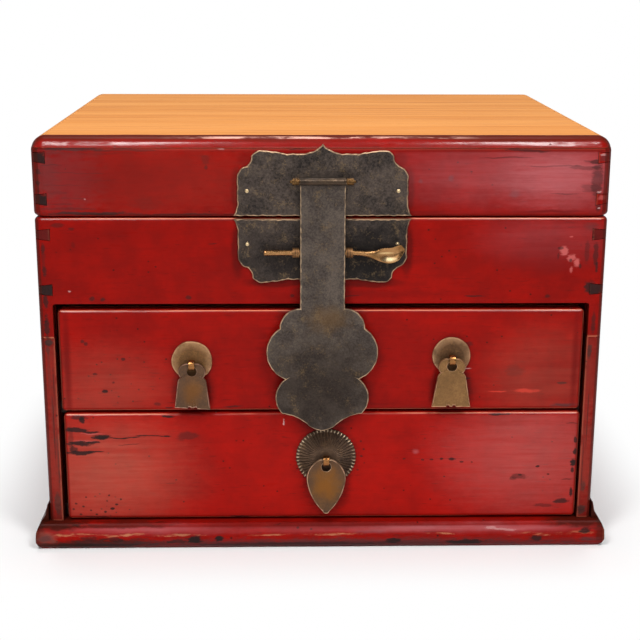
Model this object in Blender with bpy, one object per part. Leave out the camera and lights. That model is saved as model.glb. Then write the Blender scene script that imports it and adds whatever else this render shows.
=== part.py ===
"""Red lacquer dressing chest with a hinged lid, a tray, two drawers and a butterfly lock.

Metres, +Z up. The chest stands on z = 0, its front faces -Y and its width lies along X.
"""

import math

import bmesh
import bpy
from mathutils import Vector

# Fits
FIT = 0.0003
TURN_FIT = 0.0002
LID_SEAT = 0.0006
DRAWER_SIDE_GAP = 0.0023
DRAWER_GAP = 0.0018
UPPER_REVEAL = 0.0042
LOWER_REVEAL = 0.0010
STRAP_FIT = 0.0005

# Case
CASE_WIDTH = 0.3785
CASE_DEPTH = 0.3025
CASE_HEIGHT = 0.2135
CASE_BOARD = 0.010
BACK_BOARD = 0.010
PANEL_BOARD = 0.010
PANEL_HEIGHT = 0.0583
EAR_DROP = 0.0237
EAR_FILLET = 0.002
CASE_CORNER = 0.005
CASE_ARRIS = 0.0025
BOTTOM_BOARD = 0.008
DIVIDER_BOARD = 0.008
DIVIDER_SETBACK = 0.0015
TRAY_FLOOR = 0.006
TRAY_FLOOR_RISE = 0.0006
GROOVE = 0.004

# Base mouldings
BASE_HEIGHT = 0.0182
BASE_PROUD = 0.0084
BASE_TOE = 0.0050
BASE_NOSE = 0.0086
BASE_SHOULDER = 0.0066
BASE_SHOULDER_RISE = 0.0076
BASE_LIP = 0.0052
BASE_COVE_RISE = 0.0118
BASE_QUIRK = 0.0005
BASE_INNER = 0.014
BASE_TOE_BULGE = 0.3
BASE_NOSE_BULGE = 0.15
BASE_LIP_BULGE = 0.1
BASE_COVE_BULGE = -0.18

# Lid
LID_OVERHANG = 0.00075
LID_HEIGHT = 0.0524
LID_BOARD = 0.010
LID_TOP_BOARD = 0.0072
LID_TOP_ROUND = 0.0092
LID_CORNER = 0.009
LID_ARRIS = 0.003

# Dovetails
PIN_TIP = 0.0050
PIN_ROOT = 0.0074
PANEL_LOW_PIN_RISE = 0.0095
PANEL_HIGH_PIN_DROP = 0.0115
LID_LOW_PIN_RISE = 0.0115
LID_HIGH_PIN_DROP = 0.0060
BACK_PINS = 4
BACK_PIN_MARGIN = 0.024
TAIL_ROOT = 0.010
TAIL_TIP = 0.014
TAIL_MARGIN = 0.0025

# Drawers
DRAWER_FRONT = 0.011
DRAWER_LAP = 0.004
DRAWER_SIDE = 0.007
DRAWER_BACK = 0.007
DRAWER_BOTTOM = 0.005
DRAWER_BOTTOM_RISE = 0.004
DRAWER_GROOVE = 0.003
DRAWER_HEADROOM = 0.006
DRAWER_BACK_GAP = 0.004
DRAWER_BACK_DROP = 0.004
DRAWER_CORNER = 0.003
DRAWER_ARRIS = 0.0025
LOWER_FRONT_HEIGHT = 0.0772
LOWER_DRAWER_SHIFT = 0.0009

# Hinges
HINGE_SPACING = 0.220
HINGE_WIDTH = 0.036
HINGE_LEAF_HEIGHT = 0.016
HINGE_LEAF = 0.0012
HINGE_BARREL = 0.0026
HINGE_PIN = 0.0011
HINGE_PIN_HEAD = 0.0019
HINGE_HEAD_LENGTH = 0.0010
KNUCKLE_GAP = 0.0004

# Lock plates: half of a plate's outline, across from its middle and away from the parting
PLATE = 0.0012
PLATE_MARGIN = 0.0006
PLATE_HALF = 0.0590
PLATE_WAIST = 0.0561
PLATE_WAIST_RISE = 0.0080
PLATE_SHOULDER_RISE = 0.0250
PLATE_NICK = 0.0500
PLATE_NICK_RISE = 0.0330
PLATE_LOBE = 0.0465
PLATE_LOBE_RISE = 0.0395
PLATE_CREST = 0.0385
PLATE_CREST_RISE = 0.0432
PLATE_DIP = 0.0240
PLATE_DIP_RISE = 0.0412
PLATE_NECK = 0.0130
PLATE_PEAK_RISE = 0.0475
NAIL_ACROSS = 0.0495
NAIL_RISE = 0.0168
NAIL_HEAD = 0.0013
NAIL_DOME = 0.0007
NAIL_SHANK = 0.0006
NAIL_LENGTH = 0.007
NAIL_BROW_SHARE = 0.85
NAIL_BROW_RISE_SHARE = 0.6
NAIL_CROWN_SHARE = 0.4
PLATE_FLARE_BULGE = -0.15
PLATE_SHOULDER_BULGE = 0.35
PLATE_NICK_BULGE = -0.25
PLATE_LOBE_BULGE = 0.35
PLATE_CREST_BULGE = 0.05
PLATE_PEAK_BULGE = -0.2

# Lock pin, and the cotters that hold it, the hasp's bar and the pulls
LOCK_PIN = 0.0019
LOCK_PIN_DROP = 0.0226
LOCK_PIN_TIP = 0.0388
LOCK_PIN_CHAMFER = 0.0006
SPOON_NECK = 0.0016
SPOON_START = 0.0240
SPOON_LENGTH = 0.0300
SPOON_DEPTH = 0.0076
SPOON_CURL = 0.0046
SPOON_DEEPEST_SHARE = 0.72
SPOON_END_SHARE = 0.99
SPOON_SECTIONS = 9
EYELET_WALL = 0.0012
EYELET_WIDTH = 0.0044
COTTER_STEM = 0.0010
COTTER_LEG = 0.0060
COTTER_CLINCH = 0.0008

# Hasp: half of its outline, across from its middle and down from its bar
HASP = 0.0013
HASP_BAR = 0.0010
HASP_BAR_PROUD = 0.0018
HASP_BAR_RISE = 0.0246
HASP_HALF = 0.0149
HASP_STRAP = 0.0848
HASP_CUSP_1 = 0.0285
HASP_CUSP_1_DROP = 0.0986
HASP_CUSP_2 = 0.0250
HASP_CUSP_2_DROP = 0.1340
HASP_HEEL = 0.0270
HASP_HEEL_DROP = 0.1585
HASP_TOE = 0.0090
HASP_TOE_DROP = 0.1672
HASP_LENGTH = 0.1710
HASP_TIP_BULGE = 0.12
HASP_TOE_BULGE = -0.18
HASP_LOBE_BULGE = 0.45
HASP_WING_BULGE = 0.60
ROLL_END_DEG = -70

# Drawer pulls
PULL_SPACING = 0.1752
LEFT_PULL_RISE = 0.0003
RIGHT_PULL_RISE = 0.0033
LOWER_PULL_RISE = 0.0067
LOWER_PULL_OFFSET = 0.0021
LEFT_DISC = 0.0140
RIGHT_DISC = 0.0130
DISC = 0.0009
DISC_DOME = 0.0006
DISC_EDGE_SHARE = 0.6
DISC_ARRIS_SHARE = 0.94
DISC_CROWN_SHARE = 0.5
ROSETTE = 0.0207
ROSETTE_RIM = 0.0010
ROSETTE_DOME = 0.0030
ROSETTE_BOSS = 0.0062
ROSETTE_FLUTES = 60
ROSETTE_BROW_SHARE = 0.72
ROSETTE_BROW_RISE_SHARE = 0.55
ROSETTE_BOSS_RISE_SHARE = 0.95
ROSETTE_CROWN_SHARE = 0.5
FLUTE = 0.0005
EYE_WALL = 0.0014
EYE_BORE = 0.0022
EYE_WIDTH = 0.0040
EYE_DROP = 0.0016
PENDANT = 0.0018
BRIDGE = 0.0011
BRIDGE_FLAT = 0.0040
PENDANT_HOLE = 0.0034
LEFT_BELL_LENGTH = 0.0315
RIGHT_BELL_LENGTH = 0.0332
LEFT_BELL_FOOT = 0.0120
RIGHT_BELL_FOOT = 0.0132
BELL_HEAD = 0.0088
BELL_HEAD_DROP = 0.0028
BELL_NECK = 0.0075
BELL_NECK_DROP = 0.0092
BELL_SHOULDER = 0.0097
BELL_SHOULDER_DROP = 0.0124
BELL_NOTCH = 0.0012
BELL_TOOTH = 0.0009
BELL_NOTCH_BULGE = -1
BELL_SHOULDER_BULGE = 0.25
BELL_NECK_BULGE = 0.3
BELL_HEAD_BULGE = 0.25
LEAF_LENGTH = 0.0391
LEAF_HALF = 0.0130
LEAF_WIDEST_DROP = 0.0165
LEAF_TIP_BULGE = 0.17
LEAF_HEAD_BULGE = 0.36

# Finishes: colour, roughness, metallic
RED_LACQUER = ((0.36, 0.012, 0.010), 0.30, 0.0)
HONEY_LACQUER = ((0.80, 0.36, 0.11), 0.35, 0.0)
INNER_WOOD = ((0.30, 0.17, 0.09), 0.60, 0.0)
DARK_BRONZE = ((0.055, 0.043, 0.036), 0.45, 0.9)
WORN_BRASS = ((0.30, 0.18, 0.07), 0.38, 0.95)
COPPER_BRASS = ((0.45, 0.22, 0.08), 0.30, 0.95)

# Facets, and how far a rough piece or a cutter passes the face that it ends at
FACETS = 20
ARC_STEP_DEG = 22
EDGE_STEPS = 4
SHARP_DEG = 40
WELD = 0.000003
OVERSHOOT = 0.001

# Levels and planes that follow
case_bottom = BASE_HEIGHT + FIT
case_top = case_bottom + CASE_HEIGHT
case_half = CASE_WIDTH / 2
case_front = -CASE_DEPTH / 2
case_back = CASE_DEPTH / 2
panel_back = case_front + PANEL_BOARD
panel_bottom = case_top - PANEL_HEIGHT
ear_bottom = panel_bottom - EAR_DROP
opening_half = case_half - CASE_BOARD
inner_back = case_back - BACK_BOARD
lid_bottom = case_top + LID_SEAT
lid_top = lid_bottom + LID_HEIGHT
lid_boards_top = lid_top - LID_TOP_BOARD - FIT
lid_half = case_half + LID_OVERHANG
lid_front = case_front - LID_OVERHANG
lid_back = case_back + LID_OVERHANG
lower_front_bottom = case_bottom + LOWER_REVEAL
lower_front_top = lower_front_bottom + LOWER_FRONT_HEIGHT
upper_front_bottom = lower_front_top + DRAWER_GAP
upper_front_top = panel_bottom - UPPER_REVEAL
divider_low = (lower_front_top + upper_front_bottom - DIVIDER_BOARD) / 2
divider_high = divider_low + DIVIDER_BOARD
tray_floor_low = panel_bottom + TRAY_FLOOR_RISE
tray_floor_high = tray_floor_low + TRAY_FLOOR
bottom_board_high = case_bottom + BOTTOM_BOARD
hinge_y = lid_back + FIT + HINGE_BARREL
hinge_z = (case_top + lid_bottom) / 2
pin_bore = LOCK_PIN + TURN_FIT
pin_y = case_front - FIT - PLATE - FIT - pin_bore - EYELET_WALL
pin_z = case_top - LOCK_PIN_DROP
hasp_back = pin_y - LOCK_PIN - FIT
bar_bore = HASP_BAR + TURN_FIT
hasp_roll = bar_bore + HASP
bar_y = hasp_back - hasp_roll
bar_z = lid_bottom + HASP_BAR_RISE
eyelet_near = HASP_HALF + STRAP_FIT
eyelet_far = eyelet_near + EYELET_WIDTH
eye = EYE_BORE + EYE_WALL


def clear_scene():
    for obj in list(bpy.data.objects):
        bpy.data.objects.remove(obj, do_unlink=True)


def world_place(obj):
    """Where an unturned object's origin lies, through its parents."""
    place = Vector()
    while obj:
        place += obj.location
        obj = obj.parent
    return place


def pivot(name, place, parent=None):
    """An empty on a joint's axis, which carries the pieces that move with it."""
    empty = bpy.data.objects.new(name, None)
    bpy.context.collection.objects.link(empty)
    empty.parent = parent
    empty.location = Vector(place) - world_place(parent)
    return empty


def finished(name, bm, finish, carrier=None, origin=None):
    """An object from a bmesh in world coordinates. Its origin is its carrier's unless one is given."""
    place = Vector(origin) if origin else world_place(carrier)
    bmesh.ops.recalc_face_normals(bm, faces=bm.faces)
    bmesh.ops.translate(bm, verts=bm.verts, vec=-place)
    mesh = bpy.data.meshes.new(name)
    bm.to_mesh(mesh)
    bm.free()
    mesh.shade_smooth()
    mesh.set_sharp_from_angle(angle=math.radians(SHARP_DEG))
    colour, roughness, metallic = finish
    material = bpy.data.materials.new(name + "_finish")
    material.use_nodes = True
    shader = material.node_tree.nodes["Principled BSDF"]
    shader.inputs["Base Color"].default_value = (*colour, 1)
    shader.inputs["Roughness"].default_value = roughness
    shader.inputs["Metallic"].default_value = metallic
    mesh.materials.append(material)
    obj = bpy.data.objects.new(name, mesh)
    bpy.context.collection.objects.link(obj)
    obj.parent = carrier
    obj.location = place - world_place(carrier)
    return obj


def helper(name, bm):
    """A cutter, or a shape to join to another, which is no piece by itself."""
    obj = finished(name, bm, INNER_WOOD)
    obj.hide_render = True
    obj.display_type = "WIRE"
    return obj


def combine(obj, operation, others):
    for other in others:
        modifier = obj.modifiers.new(other.name, "BOOLEAN")
        modifier.operation = operation
        modifier.solver = "EXACT"
        modifier.object = other
    return obj


def cut(obj, *cutters):
    return combine(obj, "DIFFERENCE", cutters)


def join(obj, *others):
    return combine(obj, "UNION", others)


def trim(obj, envelope):
    return combine(obj, "INTERSECT", [envelope])


def loft(rings, bm=None):
    """Closed solid through rings of equally many points, with both ends capped."""
    bm = bm or bmesh.new()
    loops = [[bm.verts.new(point) for point in ring] for ring in rings]
    for lower, upper in zip(loops, loops[1:]):
        for i in range(len(lower)):
            j = (i + 1) % len(lower)
            bm.faces.new((lower[i], lower[j], upper[j], upper[i]))
    bm.faces.new(loops[0][::-1])
    bm.faces.new(loops[-1])
    return bm


def box(x_range, y_range, z_range):
    corners = [(x, y) for x, y in zip((0, 1, 1, 0), (0, 0, 1, 1))]
    return loft([[(x_range[i], y_range[j], z) for i, j in corners] for z in z_range])


def arcs(points):
    """Flat outline from (u, v, bulge) points. The bulge is the tangent of a quarter of the arc to the next.

    On an outline that runs anticlockwise, a positive bulge swells outwards and a negative one is hollow.
    """
    outline = []
    for (u0, v0, bulge), (u1, v1, _) in zip(points, points[1:] + points[:1]):
        outline.append((u0, v0))
        if not bulge:
            continue
        sweep = 4 * math.atan(bulge)
        steps = max(2, round(abs(math.degrees(sweep)) / ARC_STEP_DEG))
        reach = 0.5 / math.tan(sweep / 2)
        cu = (u0 + u1) / 2 - reach * (v1 - v0)
        cv = (v0 + v1) / 2 + reach * (u1 - u0)
        for step in range(1, steps):
            cosine = math.cos(sweep * step / steps)
            sine = math.sin(sweep * step / steps)
            du, dv = u0 - cu, v0 - cv
            outline.append((cu + du * cosine - dv * sine, cv + du * sine + dv * cosine))
    return outline


def both_halves(half):
    """Whole outline from its right half, which runs anticlockwise from the bottom to the top."""
    bulges = [bulge for _, _, bulge in half[-2::-1]] + [0]
    left = [(-u, v, bulge) for (u, v, _), bulge in zip(half[::-1], bulges)]
    right = half[:-1] if half[-1][0] == 0 else half
    return arcs(right + (left[:-1] if half[0][0] == 0 else left))


def sheet(outline, y_back, thickness, x=0.0, z=0.0, bm=None):
    """A flat piece with its outline in X and Z, its back at y_back and its face towards -Y."""
    rings = [[(x + u, y, z + v) for u, v in outline] for y in (y_back, y_back - thickness)]
    return loft(rings, bm)


def bar(outline, x_range, y, z, bm=None):
    """An outline of (forward, up) pairs carried along X, where forward is towards -Y."""
    return loft([[(x, y - u, z + v) for u, v in outline] for x in x_range], bm)


def circle(radius):
    angles = [2 * math.pi * i / FACETS for i in range(FACETS)]
    return [(radius * math.cos(a), radius * math.sin(a)) for a in angles]


def turned(profile, x, y, z):
    """A piece turned about an axis along -Y, from (radius, forward) pairs."""
    return loft([[(x + u, y - out, z + v) for u, v in circle(r)] for r, out in profile])


def turned_bar(profile, y, z):
    """A piece turned about an axis along X, from (radius, x) pairs."""
    return loft([[(x, y + u, z + v) for u, v in circle(r)] for r, x in profile])


def rounded_rectangle(width, height, corner):
    points = []
    for quarter, (su, sv) in enumerate(((1, 1), (-1, 1), (-1, -1), (1, -1))):
        for step in range(EDGE_STEPS + 1):
            angle = math.pi / 2 * (quarter + step / EDGE_STEPS)
            u = su * (width / 2 - corner) + corner * math.cos(angle)
            v = sv * (height / 2 - corner) + corner * math.sin(angle)
            points.append((u, v))
    return points


def round_edge(radius):
    """(inset, distance from the face) pairs over a quarter round, from the side to the face."""
    angles = [math.pi / 2 * step / EDGE_STEPS for step in range(EDGE_STEPS + 1)]
    return [(radius * (1 - math.cos(a)), radius * (1 - math.sin(a))) for a in angles]


def inset_rectangle(width, height, corner, inset):
    left_over = max(corner - inset, corner / EDGE_STEPS)
    return rounded_rectangle(width - 2 * inset, height - 2 * inset, left_over)


def upright_block(width, depth, corner, levels):
    """A block with round upright corners, from (z, inset) levels."""
    rings = []
    for z, inset in levels:
        rings.append([(x, y, z) for x, y in inset_rectangle(width, depth, corner, inset)])
    return loft(rings)


def mitred_rail(profile, along_x, sign):
    """A base rail from its section of (outwards, up) pairs, with both ends cut on the mitre."""
    rings = []
    for end in (-1, 1):
        if along_x:
            rings.append([(end * (case_half + u - FIT), sign * (case_back + u), v) for u, v in profile])
        else:
            rings.append([(sign * (case_half + u), end * (case_back + u - FIT), v) for u, v in profile])
    return loft(rings)


def corner_pin(side, half, board, y_range, z, grow=0.0):
    """The pin of a through dovetail, at the end of an end board: narrow outside and wide inside."""
    slope = (PIN_ROOT - PIN_TIP) / 2 / board
    outer = half + OVERSHOOT
    inner = half - board - grow
    tip = PIN_TIP / 2 - slope * OVERSHOOT + grow
    root = PIN_ROOT / 2 + slope * grow + grow
    section = [(outer, -tip), (outer, tip), (inner, root), (inner, -root)]
    return loft([[(side * x, y, z + v) for x, v in section] for y in y_range])


def spaced(low, high, count):
    return [low + (high - low) * i / (count - 1) for i in range(count)]


# Base and case
def make_base():
    nose = [
        (-BASE_INNER, 0, 0),
        (BASE_TOE, 0, BASE_TOE_BULGE),
        (BASE_PROUD, BASE_NOSE, BASE_NOSE_BULGE),
    ]
    shoulder_z = BASE_NOSE + BASE_SHOULDER_RISE
    low = arcs(
        nose
        + [
            (BASE_SHOULDER, shoulder_z, BASE_LIP_BULGE),
            (BASE_LIP, BASE_HEIGHT, 0),
            (-BASE_INNER, BASE_HEIGHT, 0),
        ]
    )
    cove_z = BASE_HEIGHT + BASE_COVE_RISE
    tall = arcs(
        nose
        + [
            (BASE_SHOULDER, shoulder_z, BASE_COVE_BULGE),
            (FIT + BASE_QUIRK, cove_z, 0),
            (FIT, cove_z, 0),
            (FIT, BASE_HEIGHT, 0),
            (-BASE_INNER, BASE_HEIGHT, 0),
        ]
    )
    finished("base_front_rail", mitred_rail(low, True, -1), RED_LACQUER)
    finished("base_back_rail", mitred_rail(tall, True, 1), RED_LACQUER)
    far = case_half + BASE_PROUD + OVERSHOOT
    ahead = case_front - BASE_PROUD - OVERSHOOT
    above = cove_z + OVERSHOOT
    clip = helper("front_corner_clip", box((-far, far), (ahead, case_front), (BASE_HEIGHT, above)))
    for name, sign in (("left", -1), ("right", 1)):
        rail = finished(f"base_{name}_rail", mitred_rail(tall, False, sign), RED_LACQUER)
        cut(rail, clip)


def case_envelope():
    levels = [(case_bottom, 0)] + [(case_top - drop, inset) for inset, drop in round_edge(CASE_ARRIS)]
    return helper("case_envelope", upright_block(CASE_WIDTH, CASE_DEPTH, CASE_CORNER, levels))


def front_pin_levels():
    return [panel_bottom + PANEL_LOW_PIN_RISE, case_top - PANEL_HIGH_PIN_DROP]


def back_pin_levels():
    return spaced(case_bottom + BACK_PIN_MARGIN, case_top - BACK_PIN_MARGIN, BACK_PINS)


def make_side(name, side, envelope):
    """A case side: full depth beside the drawers, and set back above them for the front panel's ear."""
    y_shoulder = panel_back + FIT
    y_end = inner_back - FIT
    y_start = case_front - OVERSHOOT
    z_notch = ear_bottom - FIT
    high = case_top + OVERSHOOT
    low = case_bottom
    outline = [(y_start, low), (y_end, low), (y_end, high), (y_shoulder, high)]
    outline += [(y_shoulder, z_notch), (y_start, z_notch)]
    faces = (side * opening_half, side * (case_half + OVERSHOOT))
    board = finished(name, loft([[(x, y, z) for y, z in outline] for x in faces]), RED_LACQUER)
    overlap = CASE_BOARD / 2
    for i, z in enumerate(front_pin_levels()):
        y_range = (y_start, y_shoulder + overlap)
        join(board, helper(f"{name}_front_pin_{i}", corner_pin(side, case_half, CASE_BOARD, y_range, z)))
    for i, z in enumerate(back_pin_levels()):
        y_range = (y_end - overlap, case_back + OVERSHOOT)
        join(board, helper(f"{name}_back_pin_{i}", corner_pin(side, case_half, CASE_BOARD, y_range, z)))
    trim(board, envelope)
    x_range = sorted((side * (opening_half - OVERSHOOT), side * (opening_half + GROOVE + FIT)))
    tray_groove = box(x_range, (panel_back, inner_back), (tray_floor_low - FIT, tray_floor_high + FIT))
    y_divider = case_front + DRAWER_FRONT + DIVIDER_SETBACK - FIT
    divider_groove = box(x_range, (y_divider, inner_back), (divider_low - FIT, divider_high + FIT))
    cut(board, helper(f"{name}_tray_groove", tray_groove), helper(f"{name}_divider_groove", divider_groove))


def make_case():
    envelope = case_envelope()
    make_side("left_side", -1, envelope)
    make_side("right_side", 1, envelope)

    back = finished(
        "back_board",
        box(
            (-case_half - OVERSHOOT, case_half + OVERSHOOT),
            (inner_back, case_back + OVERSHOOT),
            (case_bottom, case_top + OVERSHOOT),
        ),
        RED_LACQUER,
    )
    for side in (-1, 1):
        for i, z in enumerate(back_pin_levels()):
            y_range = (inner_back - OVERSHOOT, case_back + 2 * OVERSHOOT)
            socket = corner_pin(side, case_half + OVERSHOOT, CASE_BOARD + OVERSHOOT, y_range, z, FIT)
            cut(back, helper(f"back_socket_{side}_{i}", socket))
    trim(back, envelope)

    inner = opening_half + FIT
    outer = case_half + OVERSHOOT
    high = case_top + OVERSHOOT
    fillet = math.tan(math.pi / 8)
    outline = both_halves(
        [
            (inner - EAR_FILLET, panel_bottom, -fillet),
            (inner, panel_bottom - EAR_FILLET, 0),
            (inner, ear_bottom, 0),
            (outer, ear_bottom, 0),
            (outer, high, 0),
        ]
    )
    panel = finished("front_panel", sheet(outline, panel_back, PANEL_BOARD + OVERSHOOT), RED_LACQUER)
    for side in (-1, 1):
        for i, z in enumerate(front_pin_levels()):
            y_range = (case_front - 2 * OVERSHOOT, panel_back + OVERSHOOT)
            socket = corner_pin(side, case_half + OVERSHOOT, CASE_BOARD + OVERSHOOT, y_range, z, FIT)
            cut(panel, helper(f"panel_socket_{side}_{i}", socket))
    trim(panel, envelope)

    shelf_half = opening_half + GROOVE
    shelf_back = inner_back - FIT
    tray = box((-shelf_half, shelf_half), (panel_back + FIT, shelf_back), (tray_floor_low, tray_floor_high))
    finished("tray_floor", tray, INNER_WOOD)
    y_divider = case_front + DRAWER_FRONT + DIVIDER_SETBACK
    divider = box((-shelf_half, shelf_half), (y_divider, shelf_back), (divider_low, divider_high))
    finished("drawer_divider", divider, INNER_WOOD)
    bottom_half = opening_half - FIT
    bottom = box((-bottom_half, bottom_half), (y_divider, shelf_back), (case_bottom, bottom_board_high))
    finished("bottom_board", bottom, INNER_WOOD)
    return panel


# Lid
def make_lid(carrier):
    levels = [(lid_bottom + drop, inset) for inset, drop in reversed(round_edge(LID_ARRIS))]
    levels += [(lid_top - drop, inset) for inset, drop in round_edge(LID_TOP_ROUND)]
    block = upright_block(2 * lid_half, lid_back - lid_front, LID_CORNER, levels)
    envelope = helper("lid_envelope", block)
    z_range = (lid_bottom - OVERSHOOT, lid_boards_top)
    pin_levels = [lid_bottom + LID_LOW_PIN_RISE, lid_boards_top - LID_HIGH_PIN_DROP]
    long_boards = []
    for name, face, inner in (
        ("lid_front", lid_front - OVERSHOOT, lid_front + LID_BOARD),
        ("lid_back", lid_back + OVERSHOOT, lid_back - LID_BOARD),
    ):
        x_range = (-lid_half - OVERSHOOT, lid_half + OVERSHOOT)
        board = finished(name, box(x_range, sorted((face, inner)), z_range), RED_LACQUER, carrier)
        y_range = (min(face, inner) - OVERSHOOT, max(face, inner) + OVERSHOOT)
        for side in (-1, 1):
            for i, z in enumerate(pin_levels):
                socket = corner_pin(side, lid_half + OVERSHOOT, LID_BOARD + OVERSHOOT, y_range, z, FIT)
                cut(board, helper(f"{name}_socket_{side}_{i}", socket))
        long_boards.append(trim(board, envelope))

    y_low = lid_front + LID_BOARD + FIT
    y_high = lid_back - LID_BOARD - FIT
    for name, side in (("lid_left", -1), ("lid_right", 1)):
        x_range = sorted((side * (lid_half - LID_BOARD), side * (lid_half + OVERSHOOT)))
        board = finished(name, box(x_range, (y_low, y_high), z_range), RED_LACQUER, carrier)
        overlap = LID_BOARD / 2
        ends = ((lid_front - OVERSHOOT, y_low + overlap), (y_high - overlap, lid_back + OVERSHOOT))
        for end, y_range in enumerate(ends):
            for i, z in enumerate(pin_levels):
                pin = corner_pin(side, lid_half, LID_BOARD, y_range, z)
                join(board, helper(f"{name}_pin_{end}_{i}", pin))
        trim(board, envelope)

    far = lid_half + OVERSHOOT
    y_range = (lid_front - OVERSHOOT, lid_back + OVERSHOOT)
    slab = box((-far, far), y_range, (lid_top - LID_TOP_BOARD, lid_top + OVERSHOOT))
    trim(finished("lid_top", slab, HONEY_LACQUER, carrier), envelope)
    return long_boards[0]


# Hinges
def make_leaf(name, x, face, up, knuckles, carrier):
    """A hinge leaf on a back face, with its knuckles round the pin. up is 1 on the lid, -1 on the case."""
    half = HINGE_WIDTH / 2
    y_range = (face + FIT, face + FIT + HINGE_LEAF)
    near = hinge_z + up * (HINGE_BARREL + KNUCKLE_GAP)
    far = hinge_z + up * (HINGE_BARREL + HINGE_LEAF_HEIGHT)
    plate = box((x - half, x + half), y_range, sorted((near, far)))
    leaf = finished(name, plate, WORN_BRASS, carrier)
    for i, (low, high) in enumerate(knuckles):
        x_range = (x + low, x + high)
        web = box(x_range, y_range, sorted((hinge_z, near + up * HINGE_LEAF)))
        barrel = bar(circle(HINGE_BARREL), x_range, hinge_y, hinge_z)
        join(leaf, helper(f"{name}_web_{i}", web), helper(f"{name}_barrel_{i}", barrel))
    bore = bar(circle(HINGE_PIN + TURN_FIT), (x - HINGE_WIDTH, x + HINGE_WIDTH), hinge_y, hinge_z)
    cut(leaf, helper(f"{name}_bore", bore))


def make_hinges(lid_pivot):
    third = HINGE_WIDTH / 6
    half = HINGE_WIDTH / 2
    outer = [(-half, -third - KNUCKLE_GAP / 2), (third + KNUCKLE_GAP / 2, half)]
    middle = [(-third + KNUCKLE_GAP / 2, third - KNUCKLE_GAP / 2)]
    for name, side in (("left", -1), ("right", 1)):
        x = side * HINGE_SPACING / 2
        make_leaf(f"{name}_hinge_case_leaf", x, case_back, -1, outer, None)
        make_leaf(f"{name}_hinge_lid_leaf", x, lid_back, 1, middle, lid_pivot)
        shank = half + FIT
        end = shank + HINGE_HEAD_LENGTH
        profile = [(HINGE_PIN_HEAD, -end), (HINGE_PIN_HEAD, -shank), (HINGE_PIN, -shank)]
        profile += [(HINGE_PIN, shank), (HINGE_PIN_HEAD, shank), (HINGE_PIN_HEAD, end)]
        pin = turned_bar([(radius, x + along) for radius, along in profile], hinge_y, hinge_z)
        finished(f"{name}_hinge_pin", pin, WORN_BRASS)


# Cotters: a round eye on a stem that passes through the wood and is clinched inside
def cotter_outline(ring, reach):
    start = math.pi - math.asin(COTTER_STEM / ring)
    angles = [start * (2 * i / FACETS - 1) for i in range(FACETS + 1)]
    eye_part = [(ring * math.cos(a), ring * math.sin(a)) for a in angles]
    inside = -reach - FIT
    tail = inside - COTTER_CLINCH
    tip = COTTER_STEM + COTTER_LEG
    legs = [(inside, COTTER_STEM), (inside, tip), (tail, tip)]
    return eye_part + legs + [(u, -v) for u, v in reversed(legs)]


def make_cotter(name, x_range, y, z, bore, wall, inner_face, finish, carrier=None):
    outline = cotter_outline(bore + wall, inner_face - y)
    piece = finished(name, bar(outline, x_range, y, z), finish, carrier)
    x_past = (x_range[0] - OVERSHOOT, x_range[1] + OVERSHOOT)
    return cut(piece, helper(f"{name}_bore", bar(circle(bore), x_past, y, z)))


def stem_hole(name, x_range, y_range, z):
    """The slot that a cotter's stem passes through, in a plate or a board."""
    grow = COTTER_STEM + FIT
    x_wide = (x_range[0] - FIT, x_range[1] + FIT)
    return helper(name, box(x_wide, y_range, (z - grow, z + grow)))


# Lock
def plate_outline(flip):
    half = [
        (0, 0, 0),
        (PLATE_HALF, 0, PLATE_FLARE_BULGE),
        (PLATE_WAIST, PLATE_WAIST_RISE, 0),
        (PLATE_WAIST, PLATE_SHOULDER_RISE, PLATE_SHOULDER_BULGE),
        (PLATE_NICK, PLATE_NICK_RISE, PLATE_NICK_BULGE),
        (PLATE_LOBE, PLATE_LOBE_RISE, PLATE_LOBE_BULGE),
        (PLATE_CREST, PLATE_CREST_RISE, PLATE_CREST_BULGE),
        (PLATE_DIP, PLATE_DIP_RISE, 0),
        (PLATE_NECK, PLATE_DIP_RISE, PLATE_PEAK_BULGE),
        (0, PLATE_PEAK_RISE, 0),
    ]
    return [(u, flip * v) for u, v in both_halves(half)]


def make_plate(name, face, edge_z, flip, cotter_z, board, board_inner, carrier=None):
    """A half of the butterfly plate, with its two nails, and the holes for them and for two cotters."""
    y_back = face - FIT
    flat = sheet(plate_outline(flip), y_back, PLATE, z=edge_z)
    plate = finished(f"{name}_lock_plate", flat, DARK_BRONZE, carrier)
    nail_z = edge_z + flip * NAIL_RISE
    through = (y_back - PLATE - OVERSHOOT, board_inner + OVERSHOOT)
    for word, side in (("left", -1), ("right", 1)):
        x_range = sorted((side * eyelet_near, side * eyelet_far))
        slot = stem_hole(f"{name}_stem_{word}", x_range, through, cotter_z)
        x = side * NAIL_ACROSS
        seat = y_back - PLATE - FIT
        brow = (NAIL_HEAD * NAIL_BROW_SHARE, NAIL_DOME * NAIL_BROW_RISE_SHARE)
        crown = (NAIL_HEAD * NAIL_CROWN_SHARE, NAIL_DOME)
        profile = [(NAIL_SHANK / 2, -NAIL_LENGTH), (NAIL_SHANK, -NAIL_LENGTH + NAIL_HEAD)]
        profile += [(NAIL_SHANK, 0), (NAIL_HEAD, 0), brow, crown]
        nail = turned(profile, x, seat, nail_z)
        finished(f"{name}_nail_{word}", nail, COPPER_BRASS, carrier, (x, seat, nail_z))
        drill_size = NAIL_SHANK + FIT
        drill = turned([(drill_size, -NAIL_LENGTH - FIT), (drill_size, OVERSHOOT)], x, seat, nail_z)
        nail_hole = helper(f"{name}_nail_hole_{word}", drill)
        cut(plate, slot, nail_hole)
        cut(board, slot, nail_hole)


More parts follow.
